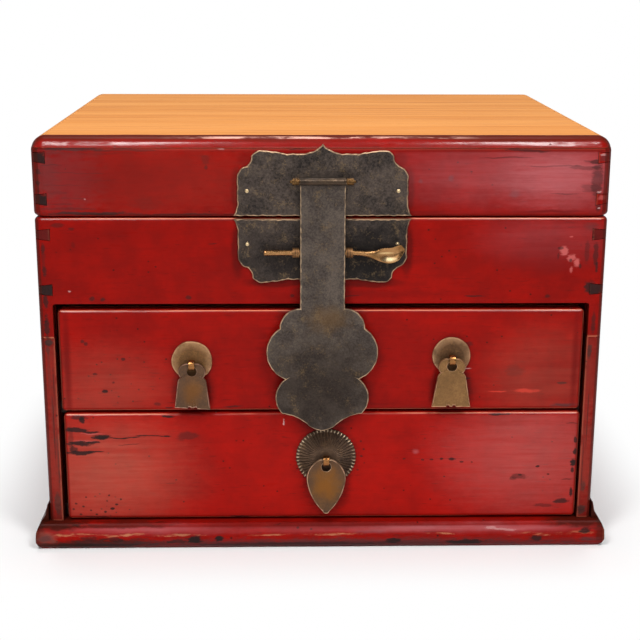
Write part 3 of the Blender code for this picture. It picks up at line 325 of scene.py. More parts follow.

# %% [markdown]
# ## Where this chest was knocked and rubbed, and where light and shade are painted
# The photograph shows each board's own history. A run says what its marks are, and some kinds are painted
# light and shade. Then each mark on the front of the board has its middle across and up, its half width and
# half height in millimetres, and its strength in hundredths. Later marks lie over earlier ones.

# %% Marks on the front
MARKS = {
    "lid_front": [
        # Halo rows: painted shadow round the metal fittings.
        ("painted_shadow", (-56, 250, 5, 18, 50), (56, 250, 5, 18, 50), (-50, 270, 6, 6, 30), (50, 270, 6, 6, 30)),
        ("grey", (-180, 262, 12, 26, 32)),
        ("dark", (-185, 262.5, 2, 2.2, 80), (-185.5, 255, 2, 1.6, 85), (-185, 249.5, 1.6, 1.4, 50),
         (-166, 277, 26, 1.5, 75), (-128, 276.4, 24, 1, 50), (-150, 274.2, 40, 0.9, 20),
         (-174, 266.5, 10, 0.5, 45), (-158, 261.5, 22, 0.4, 40), (-150, 257, 30, 0.35, 25),
         (-170, 253.5, 14, 0.4, 40), (-172, 248.5, 10, 1.4, 30), (-164, 245, 10, 0.5, 30),
         (-170, 241, 10, 0.8, 35), (-152, 235, 34, 1.3, 85), (-98, 234, 40, 1, 60), (-166, 238, 20, 1, 40),
         (-115, 241.5, 12, 4.5, 22), (-76, 270, 3, 3, 35), (-75.8, 264.8, 1.2, 1.8, 60)),
        ("pale_wear_and_glint", (-155, 244.6, 0.7, 0.5, 50), (-66, 277, 3, 1, 25)),
        ("slate", (-168, 257, 30, 30, 32)),
        # Painted sheen: a greyish film over the left of the lid.
        ("dusty", (-110, 257, 110, 34, 10)),
        ("shade", (-125, 258, 70, 24, 42), (0, 262, 90, 14, 20)),
        ("slate", (84, 257.6, 2.2, 2.6, 60), (64, 256.3, 2, 2.2, 50), (126, 247.7, 4.4, 3.8, 50)),
        # Haze rows: painted reflections on the lacquer.
        ("painted_reflection", (158, 260, 54, 30, 40), (106, 262, 84, 30, 20)),
        ("dark", (160, 247.5, 12, 0.4, 50), (120, 271.5, 20, 0.5, 50), (132, 276.2, 16, 1, 60),
         (152, 266, 22, 0.5, 35), (172, 265, 12, 1.6, 40), (178, 269, 7, 1.5, 70), (180, 256, 4.5, 13, 55),
         (176, 252, 7, 3.4, 35)),
        ("slate", (180, 261, 2.4, 2.4, 40)),
        # Painted glint on the end of a pin.
        ("pale_wear_and_glint", (182, 249.5, 2.2, 0.9, 40)),
        ("dark", (181.5, 240, 2.2, 4, 60)),
        # Painted glint on the end of a pin.
        ("pale_wear_and_glint", (182, 238.4, 1.2, 0.6, 50)),
        ("shade", (150, 236, 34, 1.4, 70), (40, 236, 60, 1.4, 60)),
    ],
    "front_panel": [
        # Halo rows: painted shadow round the metal fittings.
        ("painted_shadow", (-56, 210, 5, 20, 60), (56, 210, 5, 20, 60), (-30, 188, 26, 4, 60), (30, 188, 26, 4, 60),
         (0, 180, 19, 20, 80)),
        ("dark", (-184, 221, 2.8, 2.4, 80), (-174, 227, 4.6, 1.8, 50), (-165, 224.6, 2.2, 1, 60),
         (-164, 214, 1.6, 2.8, 35), (-184, 211, 1.5, 4, 50), (-184, 203, 1.5, 12, 35),
         (-183.5, 196, 1.8, 4, 60), (-184, 176, 2, 6, 75), (-184, 158, 2, 10, 75), (-153, 178, 2, 1.7, 65),
         (-146, 177, 1.8, 1.6, 70), (-89, 178, 2, 1.5, 65), (-20, 179, 2, 1.4, 65)),
        ("pale_wear_and_glint", (-168, 182.6, 1.6, 0.7, 40)),
        ("dark", (-72, 215, 3, 0.4, 70)),
        ("shade", (-150, 220, 36, 12, 35), (-60, 200, 50, 16, 20)),
        # Haze row: painted reflection on the lacquer.
        ("painted_reflection", (150, 218, 60, 24, 12)),
        ("shade", (150, 204, 44, 24, 40)),
        ("grey", (178, 226, 6, 3, 50)),
        ("dark", (176, 209, 1.8, 8, 40), (182, 207, 2, 9, 60), (183, 198, 1, 4, 70),
         (181.5, 221, 2.6, 2.4, 60), (179, 185, 4, 5, 85)),
        ("blush", (161, 209.5, 3, 3.4, 75), (165.5, 204.5, 3.4, 2.8, 70), (169.5, 201.5, 2.4, 3, 75),
         (166, 196.6, 1.2, 2.6, 60)),
        ("dark", (165.4, 203, 1.2, 1.4, 70), (158.4, 211.6, 2, 1, 60), (157, 206.4, 0.8, 2.4, 50),
         (172, 199, 0.9, 2.2, 60)),
        ("blush", (165, 219, 1.6, 0.6, 60)),
        ("dark", (20, 179, 9, 0.6, 60), (102, 179, 7, 0.6, 70), (151, 178.6, 2.4, 1.8, 65),
         (183, 160, 1.6, 9, 60)),
        ("shade", (30, 180.5, 70, 4, 35)),
    ],
    "upper_drawer_front": [
        # Halo rows: painted shadow round the metal fittings.
        ("painted_shadow", (0, 165, 33, 14, 75), (0, 141, 43, 25, 80), (0, 112, 37.5, 18, 80),
         (-87.6, 134, 16.5, 16.5, 70), (-87, 112, 15.5, 19, 75), (87.6, 137, 16.5, 16.5, 70),
         (88.4, 114, 16.5, 20, 75)),
        # Glow row: a warm painted reflection.
        ("glow", (-146, 112, 64, 44, 14)),
        ("pits", (-148, 120, 34, 30, 80), (-118, 135, 24, 20, 40)),
        ("dark", (-147, 112.4, 2.2, 1.2, 90), (-153, 124.6, 2, 1, 60), (-161, 148, 1.6, 1.4, 60),
         (-158.5, 146, 1.4, 1.4, 60), (-134, 135, 1.6, 1.2, 70), (-141, 119, 1.3, 1, 60),
         (-28, 128, 3, 1, 80)),
        ("pits", (112, 149, 30, 10, 45)),
        ("dark", (131, 126, 8, 4.5, 30)),
        ("light", (139, 112, 10, 1.6, 70), (120, 111.5, 6, 0.5, 60)),
        ("dark", (164, 117.5, 3.4, 1, 85), (99, 145, 3.4, 2, 45), (92, 135, 2, 1, 70)),
        ("pale_wear_and_glint", (98, 128, 4, 0.5, 50)),
        ("dark", (97, 121, 6, 0.6, 70)),
        # Glow row: a warm painted reflection.
        ("glow", (152, 122, 54, 46, 15)),
        ("shade", (156, 126, 34, 34, 30)),
        ("grey", (166, 101.5, 11, 1.8, 80)),
        ("dark", (-60, 101.3, 8, 0.8, 70), (-104, 101, 4, 0.7, 70), (-112, 103, 3, 1.4, 50)),
        ("shade", (40, 103, 20, 1.2, 50), (60, 140, 60, 22, 30), (-60, 140, 50, 20, 20),
         (-171.6, 130, 3.4, 60, 65), (172, 130, 3.4, 60, 65)),
    ],
    "lower_drawer_front": [
        # Halo rows: painted shadow round the metal fittings.
        ("painted_shadow", (0, 94, 21, 13, 80), (3, 64.8, 24, 24, 75), (3.6, 45, 17.5, 25, 75)),
        # Glow and haze rows: painted reflections on the lacquer.
        ("glow", (-146, 54, 74, 56, 30), (142, 66, 78, 58, 14)),
        ("painted_reflection", (142, 66, 78, 58, 18)),
        ("dark", (-165, 94, 7, 1.7, 75), (-163.5, 92.6, 2.2, 2.6, 90), (-167, 85, 9, 2, 90),
         (-158, 83.4, 6, 1, 85), (-150, 79.8, 7, 2, 95), (-136, 79.2, 17, 0.5, 90),
         (-116, 80.2, 15, 0.5, 85), (-106, 80.6, 2.4, 0.7, 80)),
        ("blush", (-156, 82.2, 9, 0.4, 60), (-163, 76.9, 9, 0.4, 70)),
        ("dark", (-166, 75, 8.5, 2.3, 92), (-157, 76, 6, 1, 90), (-170, 71, 3, 2.6, 70),
         (-166, 68, 9, 1.9, 92), (-156, 69.3, 8, 0.6, 85), (-171.5, 78, 2, 10, 40), (-92, 80, 8.5, 3.4, 50),
         (-131, 74.3, 9, 0.25, 70)),
        ("pits", (-150, 32, 26, 18, 120)),
        ("dark", (-145, 27.5, 1.6, 1, 90), (-142, 30, 1.2, 0.9, 80), (-154, 21, 14, 0.9, 60),
         (-148.6, 33, 1, 0.8, 80), (-150, 25, 0.9, 0.8, 80), (-170, 31, 0.9, 0.8, 70),
         (-163, 36, 0.8, 0.7, 70), (-160, 26, 0.9, 0.7, 70), (-139, 33.6, 0.9, 0.8, 80)),
        ("pits", (-60, 46, 60, 22, 20), (88, 62.8, 30, 2.2, 90)),
        ("dark", (80, 63, 22, 0.3, 25), (57, 62.6, 1.6, 0.8, 70), (70, 62, 1.2, 0.7, 70),
         (76, 62.6, 1.5, 0.8, 75), (83, 62.8, 1.3, 1, 80), (90, 62.4, 2, 1, 85), (97, 60.4, 1.6, 0.7, 75),
         (104, 60.2, 1, 0.6, 70), (27, 76, 0.9, 0.9, 70), (29, 70, 1, 0.8, 70), (27.5, 65, 1.1, 0.9, 75),
         (29.5, 60, 0.9, 0.7, 60), (25, 55, 1, 0.8, 60), (-172, 27, 1, 0.9, 70), (-167, 23, 1, 0.8, 70),
         (-165, 29, 0.9, 0.8, 70), (-156, 23, 1, 0.8, 70), (-147, 37, 0.9, 0.9, 75), (137, 49.5, 6, 2.2, 55),
         (133, 48, 3, 1.4, 50), (138, 50.4, 1.6, 0.8, 80), (150, 57, 1.6, 1, 85), (157.6, 51, 1.5, 0.9, 80),
         (168, 31, 6, 2, 80), (156, 28, 8, 1.4, 50), (174.6, 59.6, 2.4, 3.6, 95), (175.6, 68, 1.6, 2.6, 90),
         (175.4, 76, 1.2, 3, 85), (174.4, 54, 1.4, 2.4, 85), (174.2, 38, 1.4, 4, 90), (173, 88, 6, 0.35, 70),
         (171, 47, 4, 0.35, 70)),
        ("pits", (26, 66, 3, 9, 90)),
        ("pale_wear_and_glint", (-26, 90, 0.8, 2.2, 70)),
        # Haze row: painted reflection.
        ("painted_reflection", (65, 68, 3, 2.4, 30)),
        ("dark", (-55, 21, 8, 0.8, 80)),
        ("pits", (150, 52, 24, 16, 35), (110, 84, 50, 8, 25)),
        ("dark", (-105, 94.6, 5, 0.9, 90), (122, 95, 9, 0.9, 85)),
    ],
    "base_front_rail": [
        ("grime", (-195, 11, 5, 12, 60), (195, 11, 5, 12, 60), (-150, 4.2, 52, 4.4, 85)),
        # Haze rows: painted highlight along the top of the base's bead.
        ("painted_reflection", (-120, 14, 90, 5, 20), (0, 14, 90, 4, 16), (120, 14, 90, 5, 22)),
        ("shade", (0, 2, 240, 5.5, 70)),
        ("grey", (0, 3, 260, 6, 70)),
        ("dusty", (-190, 8.5, 9, 6, 70)),
        ("grey", (-190.5, 8.2, 7, 4.4, 80)),
        ("tan", (-176, 11.4, 18, 1.4, 90), (-152, 10.4, 16, 1.4, 80), (-125, 10.8, 18, 1.2, 80),
         (-98, 10.2, 14, 1, 70)),
        ("dark", (-160, 8.2, 7, 1.8, 50), (-143, 7.6, 6, 2.2, 60), (-88, 7, 6, 3.2, 95),
         (-71, 8, 3.2, 2.4, 95), (-150, 3, 26, 1.6, 70), (-100, 5.5, 8, 1.6, 60)),
        ("tan", (-40, 10.5, 18, 1, 70), (10, 10.2, 22, 1, 75)),
        ("slate", (35, 12.5, 13, 1.8, 40)),
        ("dark", (50, 5, 6, 2.4, 85), (100, 4, 16, 2.2, 85)),
        ("tan", (82, 10.2, 10, 1, 90)),
        # Painted highlight, a rough sparkle on the bead.
        ("pale_wear_and_glint", (118, 13.6, 5, 1.3, 40), (128, 13, 7, 0.9, 30)),
        ("tan", (150, 10, 18, 1.4, 80)),
        ("dark", (150, 6.4, 5, 2.4, 85)),
        ("tan", (178, 10.5, 14, 1.8, 60)),
        ("dark", (184, 11.5, 4, 2.2, 85)),
        ("grey", (186, 5.5, 8, 2.6, 60)),
        ("dark", (-20, 3, 70, 1.8, 55)),
        # Haze rows: painted highlight along the top of the base's bead.
        ("painted_reflection", (-120, 15, 60, 3, 25), (110, 14.5, 80, 3, 28)),
        # Partly painted shadow: along the foot of the drawers, and at the base's ends and bottom.
        ("grime", (0, 21.5, 300, 3.4, 60), (-184, 19, 24, 6, 80), (182, 19, 30, 6, 75),
         (-140, 17, 40, 2.2, 60), (-178, 2.5, 26, 3.4, 75)),
        # Haze row: painted highlight along the top of the base's bead.
        ("painted_reflection", (54, 13.5, 44, 3.4, 30)),
    ],
    # The end rails' dark is painted shade.
    "base_left_rail": [("grime", (-190, 22, 18, 18, 85))],
    "base_right_rail": [("grime", (190, 22, 18, 18, 80))],
    "lid_left": [("dark", (-186, 244.1, 11, 5.5, 95), (-186, 271.5, 11, 7, 95))],
    "lid_right": [
        ("blush", (184, 245.6, 3, 2.4, 45)),
        ("grey", (186, 271.5, 6, 4.4, 70)),
        # Painted glint.
        ("pale_wear_and_glint", (183, 273.5, 2.6, 1, 35)),
    ],
    "left_side": [
        ("dark", (-183.4, 146.4, 2.8, 3, 100), (-184, 141, 1.5, 3, 60), (-184, 128, 1.4, 14, 30),
         (-183, 96, 1.2, 18, 30), (-181, 66, 1, 22, 40), (-182.6, 31, 2.4, 9, 75), (-184, 184.4, 11, 8, 95),
         (-184, 221.6, 11, 8, 60)),
        ("grime", (-182, 17, 8, 2, 80)),
        # Painted sheen on the post.
        ("dusty", (-182, 120, 12, 50, 16), (-182, 60, 12, 50, 22)),
        ("dark", (-182.6, 84, 0.5, 30, 55), (-181.4, 118, 0.5, 16, 50), (-180.6, 58, 0.4, 18, 50)),
    ],
    "right_side": [
        ("dark", (181.5, 139, 2, 5.6, 85), (182.5, 41, 2, 4, 75), (182, 24.5, 4, 3.4, 85),
         (184, 184.4, 11, 8, 90), (184, 221.6, 11, 8, 45)),
        ("grime", (182, 17, 8, 2, 80)),
        # Painted sheen on the post.
        ("dusty", (182, 120, 12, 50, 16), (182, 60, 12, 50, 22)),
        ("dark", (182.8, 92, 0.5, 26, 50), (181.2, 60, 0.5, 22, 45)),
    ],
}

# %% [markdown]
# ## Kinds of marks
# Each kind has a colour, a raggedness and a softness. A haze or a glow is a painted reflection, streaky on
# the flat lacquer. A halo is painted shadow round the metal fittings. Grime is partly dirt and partly painted
# shadow, pale marks are partly worn spots and partly painted glints, and dusty ones are partly dust and
# partly painted sheen.
# Pits have no colour, because they only add worm holes.

# %% Marks as masks
RED = rgb(152, 15, 7)
DEEP_RED = rgb(114, 13, 9)
GROUND = rgb(36, 20, 17)
# The rubbed line's colour, also a painted highlight.
RUBBED_AND_LIT = rgb(232, 140, 106)
TINTS = {
    "dark": (rgb(32, 28, 27), 0.9, 0.45),
    "grey": (rgb(74, 46, 46), 0.7, 0.8),
    # Grime: partly dirt and partly painted shadow.
    "grime": (rgb(40, 20, 12), 0.6, 0.6),
    "shade": (rgb(92, 12, 11), 0.3, 0.95),
    "slate": (rgb(86, 50, 54), 0.6, 0.8),
    # Haze and glow: painted reflections on the lacquer, streaky and kept off the rounded edges.
    "painted_reflection": (rgb(188, 112, 116), 0.15, 1.0),
    "glow": (rgb(188, 112, 92), 0.15, 1.0),
    # Pale: partly worn spots and partly painted glints.
    "pale_wear_and_glint": (rgb(216, 176, 172), 1.2, 0.5),
    "blush": (rgb(188, 92, 88), 1.0, 0.5),
    "tan": (rgb(184, 118, 84), 1.2, 0.5),
    "light": (rgb(206, 54, 40), 0.8, 0.5),
    # Dusty: partly dust and partly painted sheen.
    "dusty": (rgb(158, 84, 70), 0.7, 0.95),
    # Halo: painted shadow round the metal fittings.
    "painted_shadow": (rgb(58, 10, 8), 0.25, 0.5),
    "pits": (None, 0.3, 0.9),
}
RAGGED = 2.2
# How far grime and painted shadow reach back from the front, onto the ends.
GRIME_AND_SHADE_REACH = 0.050


def mark_masks(place, front, reach, runs):
    """Yields what each mark is, with its mask times its strength. All marks share one ragged rim."""
    rough = noise(place * (0.35, 1.0, 1.0), 420, 5, 0.7) - 0.5
    wave = (noise(place * (1.0, 1.0, 0.3), 60, 5) - 0.5) * 0.0035
    place = place + Field(put(place.tree, "ShaderNodeCombineXYZ", {"Z": wave}).outputs[0])
    for kind, *rows in runs:
        ragged, soft = TINTS[kind][1:]
        rim = rough * (RAGGED * ragged)
        deep = GRIME_AND_SHADE_REACH if kind == "grime" else reach
        for x, z, wide, tall, strength in rows:
            middle = (x / 1000, front, z / 1000)
            size = (wide / 1000, deep, tall / 1000)
            mask = apply(MARK, Place=place, Middle=middle, Size=size, Rim=rim, Soft=soft)["Mask"]
            yield kind, mask * (strength / 100)

# %% [markdown]
# ## Red lacquer on a board
# Each board gets a material of its own, because the wear follows its own edges. The pattern is shifted
# from board to board, so that no two look alike. The painted reflections are streaky and stop short of the
# rounded edges, and painted shade darkens the faces that turn sideways, just behind the front.

# %% Red lacquer
SHEEN = 0.05
BOARD_GLOSS = 0.2
BASE_GLOSS = -0.02
BOARD_REACH = 0.004
BASE_REACH = 0.012
FEW_PITS = 0.03
SIDE_SHADE = rgb(66, 22, 13)
# The base's end rails are darkened to half as painted shade.
TONE_AND_SHADE = {
    "lid_front": 0.88, "front_panel": 0.95, "upper_drawer_front": 1.02, "lower_drawer_front": 1.25,
    "left_side": 0.78, "right_side": 0.78, "base_front_rail": 1.05, "base_left_rail": 0.5,
    "base_right_rail": 0.5,
}


def facing(place):
    """The way a face looks in its own frame, across, back and up."""
    return split(Field(place.socket.node.outputs["Normal"]))


def polish(shader, colour, aged, rounded, gloss, depth):
    """Finishes lacquer: dull on the flat, and polished by hands on the rounded edges that look up."""
    polished = rounded * gloss
    finish_shader(shader, colour, aged["Roughness"] * (1.0 - polished), aged["Height"], depth)
    feed(shader.inputs, {"Specular IOR Level": polished + SHEEN})


def toned(colour, tone):
    """A colour made lighter or darker."""
    return (*(tone * np.array(colour[:3])).tolist(), 1.0)


def lacquered(name, order, grain, wear, arris):
    """Red lacquer for one node, worn along the edges of its box, with its own tone and its own marks."""
    low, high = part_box(name)
    made, shader, place = new_material(f"{name}_lacquer")
    shifted = place + (0.37 * order, 0.0, 0.23 * order)
    edge = apply(EDGE_DISTANCE, Place=place, Low=low, High=high)["Edge"]
    streaks = noise(shifted * (0.05, 1.0, 1.0), 260, 5, 0.7)
    # The streaks of the painted reflections, kept off the rounded edges.
    reflection_streaks = step(edge, 0.0014, 0.003) * (streaks * 1.7 + 0.15)
    flecks = step(noise(shifted * (0.14, 1.0, 1.0), 400, 5, 0.7), 0.46, 0.62)
    covers = {"painted_reflection": reflection_streaks, "glow": reflection_streaks, "tan": flecks}
    reach, gloss = (BASE_REACH, BASE_GLOSS) if "base" in name else (BOARD_REACH, BOARD_GLOSS)
    pits = FEW_PITS
    tinted = []
    for kind, mask in mark_masks(place, low.y, reach, MARKS.get(name, [])):
        if kind == "pits":
            pits = mask + pits
        else:
            tinted.append((kind, mask * covers[kind] if kind in covers else mask))
    sideways, _, up = facing(place)
    tone = TONE_AND_SHADE.get(name, 1.0)
    aged = apply(
        AGED_LACQUER, Place=shifted, Edge=edge, Up=up, Grain=grain, Wear=wear, Arris=arris, Pits=pits,
        Light=toned(RED, tone), Deep=toned(DEEP_RED, tone), Ground=GROUND, Bare=RUBBED_AND_LIT,
    )
    colour = aged["Colour"]
    for kind, mask in tinted:
        colour = mix(mask, colour, TINTS[kind][0])
    behind = split(place)[1] - low.y
    # Painted shade: faces that turn sideways go dark just behind the front.
    corner = step(unsigned(sideways), 0.15, 0.7) * fade(behind, 0.003, 0.016) * 0.7
    colour = mix(corner, colour, SIDE_SHADE)
    polish(shader, colour, aged, step(up, 0.15, 0.4), gloss, 0.3)
    return made

# %% [markdown]
# The brush went along each board: from side to side on the front and back, from front to back on the ends.
# The base wears most, and the lid's arrises have the faintest rubbed line, which is also a painted highlight.

# %% Lacquer the boards
ALONG_X = (0.10, 1.0, 1.0)
ALONG_Y = (1.0, 0.10, 1.0)
long_boards = (
    "lid_front", "lid_back", "front_panel", "back_board", "upper_drawer_front", "lower_drawer_front",
    "base_front_rail", "base_back_rail",
)
end_boards = ("lid_left", "lid_right", "left_side", "right_side", "base_left_rail", "base_right_rail")
for boards, first, grain, lid_arris, other_arris in (
    (long_boards, 0, ALONG_X, 0.12, 0.9), (end_boards, 20, ALONG_Y, 0.15, 0.4),
):
    for order, name in enumerate(boards, first):
        wear = 1.0 if "base" in name else 0.5
        arris = lid_arris if "lid" in name else other_arris
        dress(name, lacquered(name, order, grain, wear, arris))
mark_count = sum(len(run) - 1 for runs in MARKS.values() for run in runs)
print(f"lacquered {len(long_boards) + len(end_boards)} boards, with {mark_count} marks")

# %% [markdown]
# ## Streaked wood
# Softwood grows in light and dark bands, and a plane cuts them into long streaks. Noise that is drawn out
# along the grain gives them, once broad and once fine.

# %% Streaked wood group
def streaked_wood_group():
    """Broad streaks between two tones, with fine dark ones over them."""
    group, given, result = new_group(
        "streaked_wood",
        {"vector": ("Place", "Grain"), "colour": ("Light", "Middle", "Dark")},
        {"colour": ("Colour",), "value": ("Height",)},
    )
    along = given["Place"] * given["Grain"]
    fine = noise(along, 230, 5, 0.6)
    colour = mix(step(noise(along, 42, 3), 0.35, 0.65), given["Middle"], given["Light"])
    feed(result, {"Colour": mix(step(fine, 0.46, 0.74) * 0.65, colour, given["Dark"]), "Height": fine})
    return group


STREAKED_WOOD = streaked_wood_group()
HONEY = {"Light": rgb(232, 158, 84), "Middle": rgb(222, 145, 72), "Dark": rgb(190, 108, 48)}
SOFTWOOD = {"Light": rgb(176, 128, 84), "Middle": rgb(158, 110, 70), "Dark": rgb(110, 72, 44)}
WOOD_ALONG_X = (0.06, 1.0, 1.0)
WOOD_ALONG_Y = (1.0, 0.06, 1.0)

# %% [markdown]
# ## Honey top
# The lid's top is lacquered clear over streaky wood. The clear coat stops short of the rounded front edge,
# at a wavering dark line, where the red begins. One material holds all three, because they meet on one
# board. The middle of its rounded edge carries a thin pale line, partly a scuff from hands that open the lid
# and partly a painted highlight.

# %% Honey top
def honey_top():
    """Red at the front edge, a dark border, then clear over honey wood. The underside is bare."""
    low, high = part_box("lid_top")
    made, shader, place = new_material("lid_top_honey")
    honey = apply(STREAKED_WOOD, Place=place, Grain=(0.03, 1.0, 1.0), **HONEY)
    plain = apply(STREAKED_WOOD, Place=place, Grain=WOOD_ALONG_X, **SOFTWOOD)
    edge = apply(EDGE_DISTANCE, Place=place, Low=low, High=high)["Edge"]
    aged = apply(
        AGED_LACQUER, Place=place, Edge=edge, Up=0.0, Grain=ALONG_X, Wear=0.1, Arris=0.0, Pits=0.0,
        Light=RED, Deep=DEEP_RED, Ground=GROUND, Bare=RUBBED_AND_LIT,
    )
    x, y, z = split(place)
    behind = y - low.y + (noise(place, 30, 4) - 0.5) * 0.004
    ragged = noise(place * ALONG_X, 120, 5) * 0.007
    border = step(behind + ragged, 0.0050, 0.0082) * 0.85
    colour = mix(border, aged["Colour"], rgb(78, 24, 10))
    colour = mix(step(behind, 0.0097, 0.0105), colour, honey["Colour"])
    colour = mix(fade(z, low.z + 0.00002, low.z + 0.00006), colour, plain["Colour"])

    up = facing(place)[2]
    worn = noise(place * (0.2, 1.0, 1.0), 190, 6, 0.7)
    rounded = step(up, 0.15, 0.35) * fade(up, 0.56, 0.76) * step(worn, 0.32, 0.52)
    # A thin pale line along the top of the rounded edge: partly a scuff and partly a painted highlight.
    off_line = unsigned(z - (high.z - 0.0012))
    scuff_and_highlight = fade(off_line, 0.0003, 0.0008) * step(worn, 0.44, 0.56)
    scuff_and_highlight = scuff_and_highlight * fade(unsigned(x), 0.06, 0.11) * fade(behind, 0.008, 0.009) * 0.9
    colour = mix(scuff_and_highlight, colour, rgb(222, 168, 150))
    polish(shader, colour, aged, rounded, 0.48, 0.25)
    return made


lid_finish = honey_top()
print("cleared the top")

# %% [markdown]
# ## Bare wood inside
# Nobody lacquered what only shows when a drawer is out. The boards are plain softwood, dry and a little
# grey, and painted near black as shade where their front edges show in the gaps.

# %% Inner wood
def inner_wood(name, grain, front=None):
    """Plain wood. Where its front edge shows in the gaps round the drawers, it is painted near black as
    shade.
    """
    made, shader, place = new_material(name)
    wood = apply(STREAKED_WOOD, Place=place, Grain=grain, **SOFTWOOD)
    colour = wood["Colour"]
    if front is not None:
        # Painted shade in the gaps: near black towards the front edge.
        gap_shade = fade(split(place)[1], front + 0.001, front + 0.012) * 0.95
        colour = mix(gap_shade, colour, rgb(24, 15, 10))
    finish_shader(shader, colour, wood["Height"] * 0.25 + 0.5, wood["Height"], 0.4)
    return made


across = inner_wood("inner_wood_across", WOOD_ALONG_X)
shelf = inner_wood("inner_wood_shelf", WOOD_ALONG_X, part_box("drawer_divider")[0].y)
lengthways = inner_wood("inner_wood_lengthways", WOOD_ALONG_Y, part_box("upper_drawer_left")[0].y)
inside = {"tray_floor": across, "drawer_divider": shelf, "bottom_board": shelf}
for drawer in ("upper_drawer", "lower_drawer"):
    inside |= {f"{drawer}_back": across, f"{drawer}_bottom": across}
    inside |= {f"{drawer}_left": lengthways, f"{drawer}_right": lengthways}
for name, finish in inside.items():
    dress(name, finish)
print(f"left {len(inside)} boards bare")

# %% [markdown]
# ## Old metal
# The lock's sheet bronze has gone almost black, with golden specks where the patina is thin. Brass that
# fingers touch stays brighter, and so does every rim. All are one group: a dark skin over bright metal.

# %% Patina group
def patina_group():
    """Skin to cloud colour in clouds, specks where the skin is thin, and bright metal on broken rims."""
    group, given, result = new_group(
        "patina",
        {"vector": ("Place",), "value": ("Rim", "Rubbed", "Polish"),
         "colour": ("Skin", "Cloud", "Speck", "Bright")},
        {"colour": ("Colour",), "value": ("Roughness", "Height")},
    )
    place = given["Place"]
    clouds = step(noise(place, 70, 5, 0.65), 0.36, 0.64)
    mottled = step(noise(place, 700, 6, 0.75), 0.38, 0.62)
    fine = noise(place, 900, 3, 0.6)
    level = fine * 0.45 + noise(place, 130, 5, 0.6) * 0.55
    thin = step(level + given["Rubbed"] * 0.3, 0.52, 0.66)
    edge = given["Rim"] * (step(noise(place, 150, 4), 0.34, 0.60) + 0.25)
    colour = mix(clouds * 0.5 + mottled * 0.5, given["Skin"], given["Cloud"])
    colour = mix(thin * 0.42, colour, given["Speck"])
    feed(result, {
        "Colour": mix(edge, colour, given["Bright"]),
        "Roughness": 0.50 - larger(thin, edge) * 0.14 - given["Polish"] + fine * 0.1,
        "Height": fine + clouds * 0.8,
    })
    return group


PATINA = patina_group()

# %% [markdown]
# Every metal is four tones of the screen: skin, clouds, specks and bright rims. Stains are marks like those
# on the lacquer, at their places on the front: middle across and up, half sizes, tone and strength. On the
# lock
# pin they are painted light: two painted highlights and two patches of painted shade.

# %% Metal finishes
PIN_LEVEL = 209.4
STAIN_AND_LIGHT_REACH = 0.02


def metal(name, tones, rubbed=0.0, gloss=0.0, metallic=0.8, depth=0.25, front=0.0, stains_and_painted_light=()):
    """A metal whose mesh may carry a rim value, 1 where an edge is rubbed bright. Stains, some of them
    painted light, lie at a front.
    """
    made, shader, place = new_material(name)
    skin, cloud, speck, bright = (rgb(*tone) for tone in tones)
    for x, z, wide, tall, tone, strength in stains_and_painted_light:
        rough = noise(place, 160, 4, 0.6) - 0.5
        middle = (x / 1000, front, z / 1000)
        size = (wide / 1000, STAIN_AND_LIGHT_REACH, tall / 1000)
        mask = apply(MARK, Place=place, Middle=middle, Size=size, Rim=rough, Soft=0.9)["Mask"] * strength
        skin = mix(mask, skin, rgb(*tone))
        cloud = mix(mask, cloud, rgb(*tone))
    rim = Field(put(place.tree, "ShaderNodeAttribute", attribute_name="rim").outputs["Fac"])
    aged = apply(
        PATINA, Place=place, Rim=rim, Skin=skin, Cloud=cloud, Speck=speck, Bright=bright, Rubbed=rubbed,
        Polish=gloss,
    )
    finish_shader(shader, aged["Colour"], aged["Roughness"], aged["Height"], depth)
    shader.inputs["Metallic"].default_value = metallic
    return made


bronze = metal(
    "dark_bronze", ((32, 28, 27), (90, 78, 70), (128, 104, 72), (196, 162, 128)), front=-0.153,
    stains_and_painted_light=[(0, 200, 90, 42, (32, 26, 24), 0.78), (36, 205, 40, 34, (16, 14, 14), 0.75)],
)
grey_bronze = metal(
    "hasp_bronze", ((54, 47, 44), (98, 87, 78), (120, 96, 62), (204, 174, 140)), front=-0.16,
    stains_and_painted_light=[(0, 115, 60, 55, (36, 26, 19), 0.7), (4, 165, 18, 12, (104, 76, 40), 0.5)],
)
roll_bronze = metal(
    "roll_bronze", ((36, 31, 28), (62, 52, 44), (84, 68, 48), (150, 120, 90)), gloss=0.20, metallic=0.9
)
brass = metal("aged_brass", ((84, 57, 33), (118, 82, 46), (138, 98, 50), (190, 146, 106)), metallic=0.7)
dull_brass = metal("dull_brass", ((74, 50, 30), (106, 73, 43), (124, 88, 47), (180, 138, 102)), metallic=0.7)
pale_brass = metal(
    "pale_brass", ((108, 78, 44), (136, 98, 58), (150, 112, 68), (190, 148, 112)), metallic=0.7
)
dark_brass = metal("dark_brass", ((64, 48, 39), (96, 74, 56), (126, 98, 68), (246, 222, 186)))
bell_brass = metal(
    "bell_brass", ((78, 56, 42), (100, 72, 50), (116, 78, 42), (172, 134, 112)), metallic=0.7, front=-0.157,
    stains_and_painted_light=[(-87.6, 114, 8, 13, (116, 72, 28), 0.8)],
)
leaf_brass = metal(
    "leaf_brass", ((78, 56, 40), (98, 70, 46), (122, 86, 46), (200, 166, 134)), metallic=0.65, front=-0.159,
    stains_and_painted_light=[(3, 47, 12.5, 16.5, (128, 80, 22), 0.95)],
)
eye_brass = metal(
    "eye_brass", ((138, 92, 52), (148, 102, 60), (154, 108, 66), (220, 180, 130)), gloss=0.30, metallic=1.0,
    depth=0.05,
)
nail_brass = metal(
    "nail_brass", ((206, 178, 134), (214, 188, 146), (216, 192, 152), (224, 204, 170)), gloss=0.26,
    metallic=0.9, depth=0.0,
)
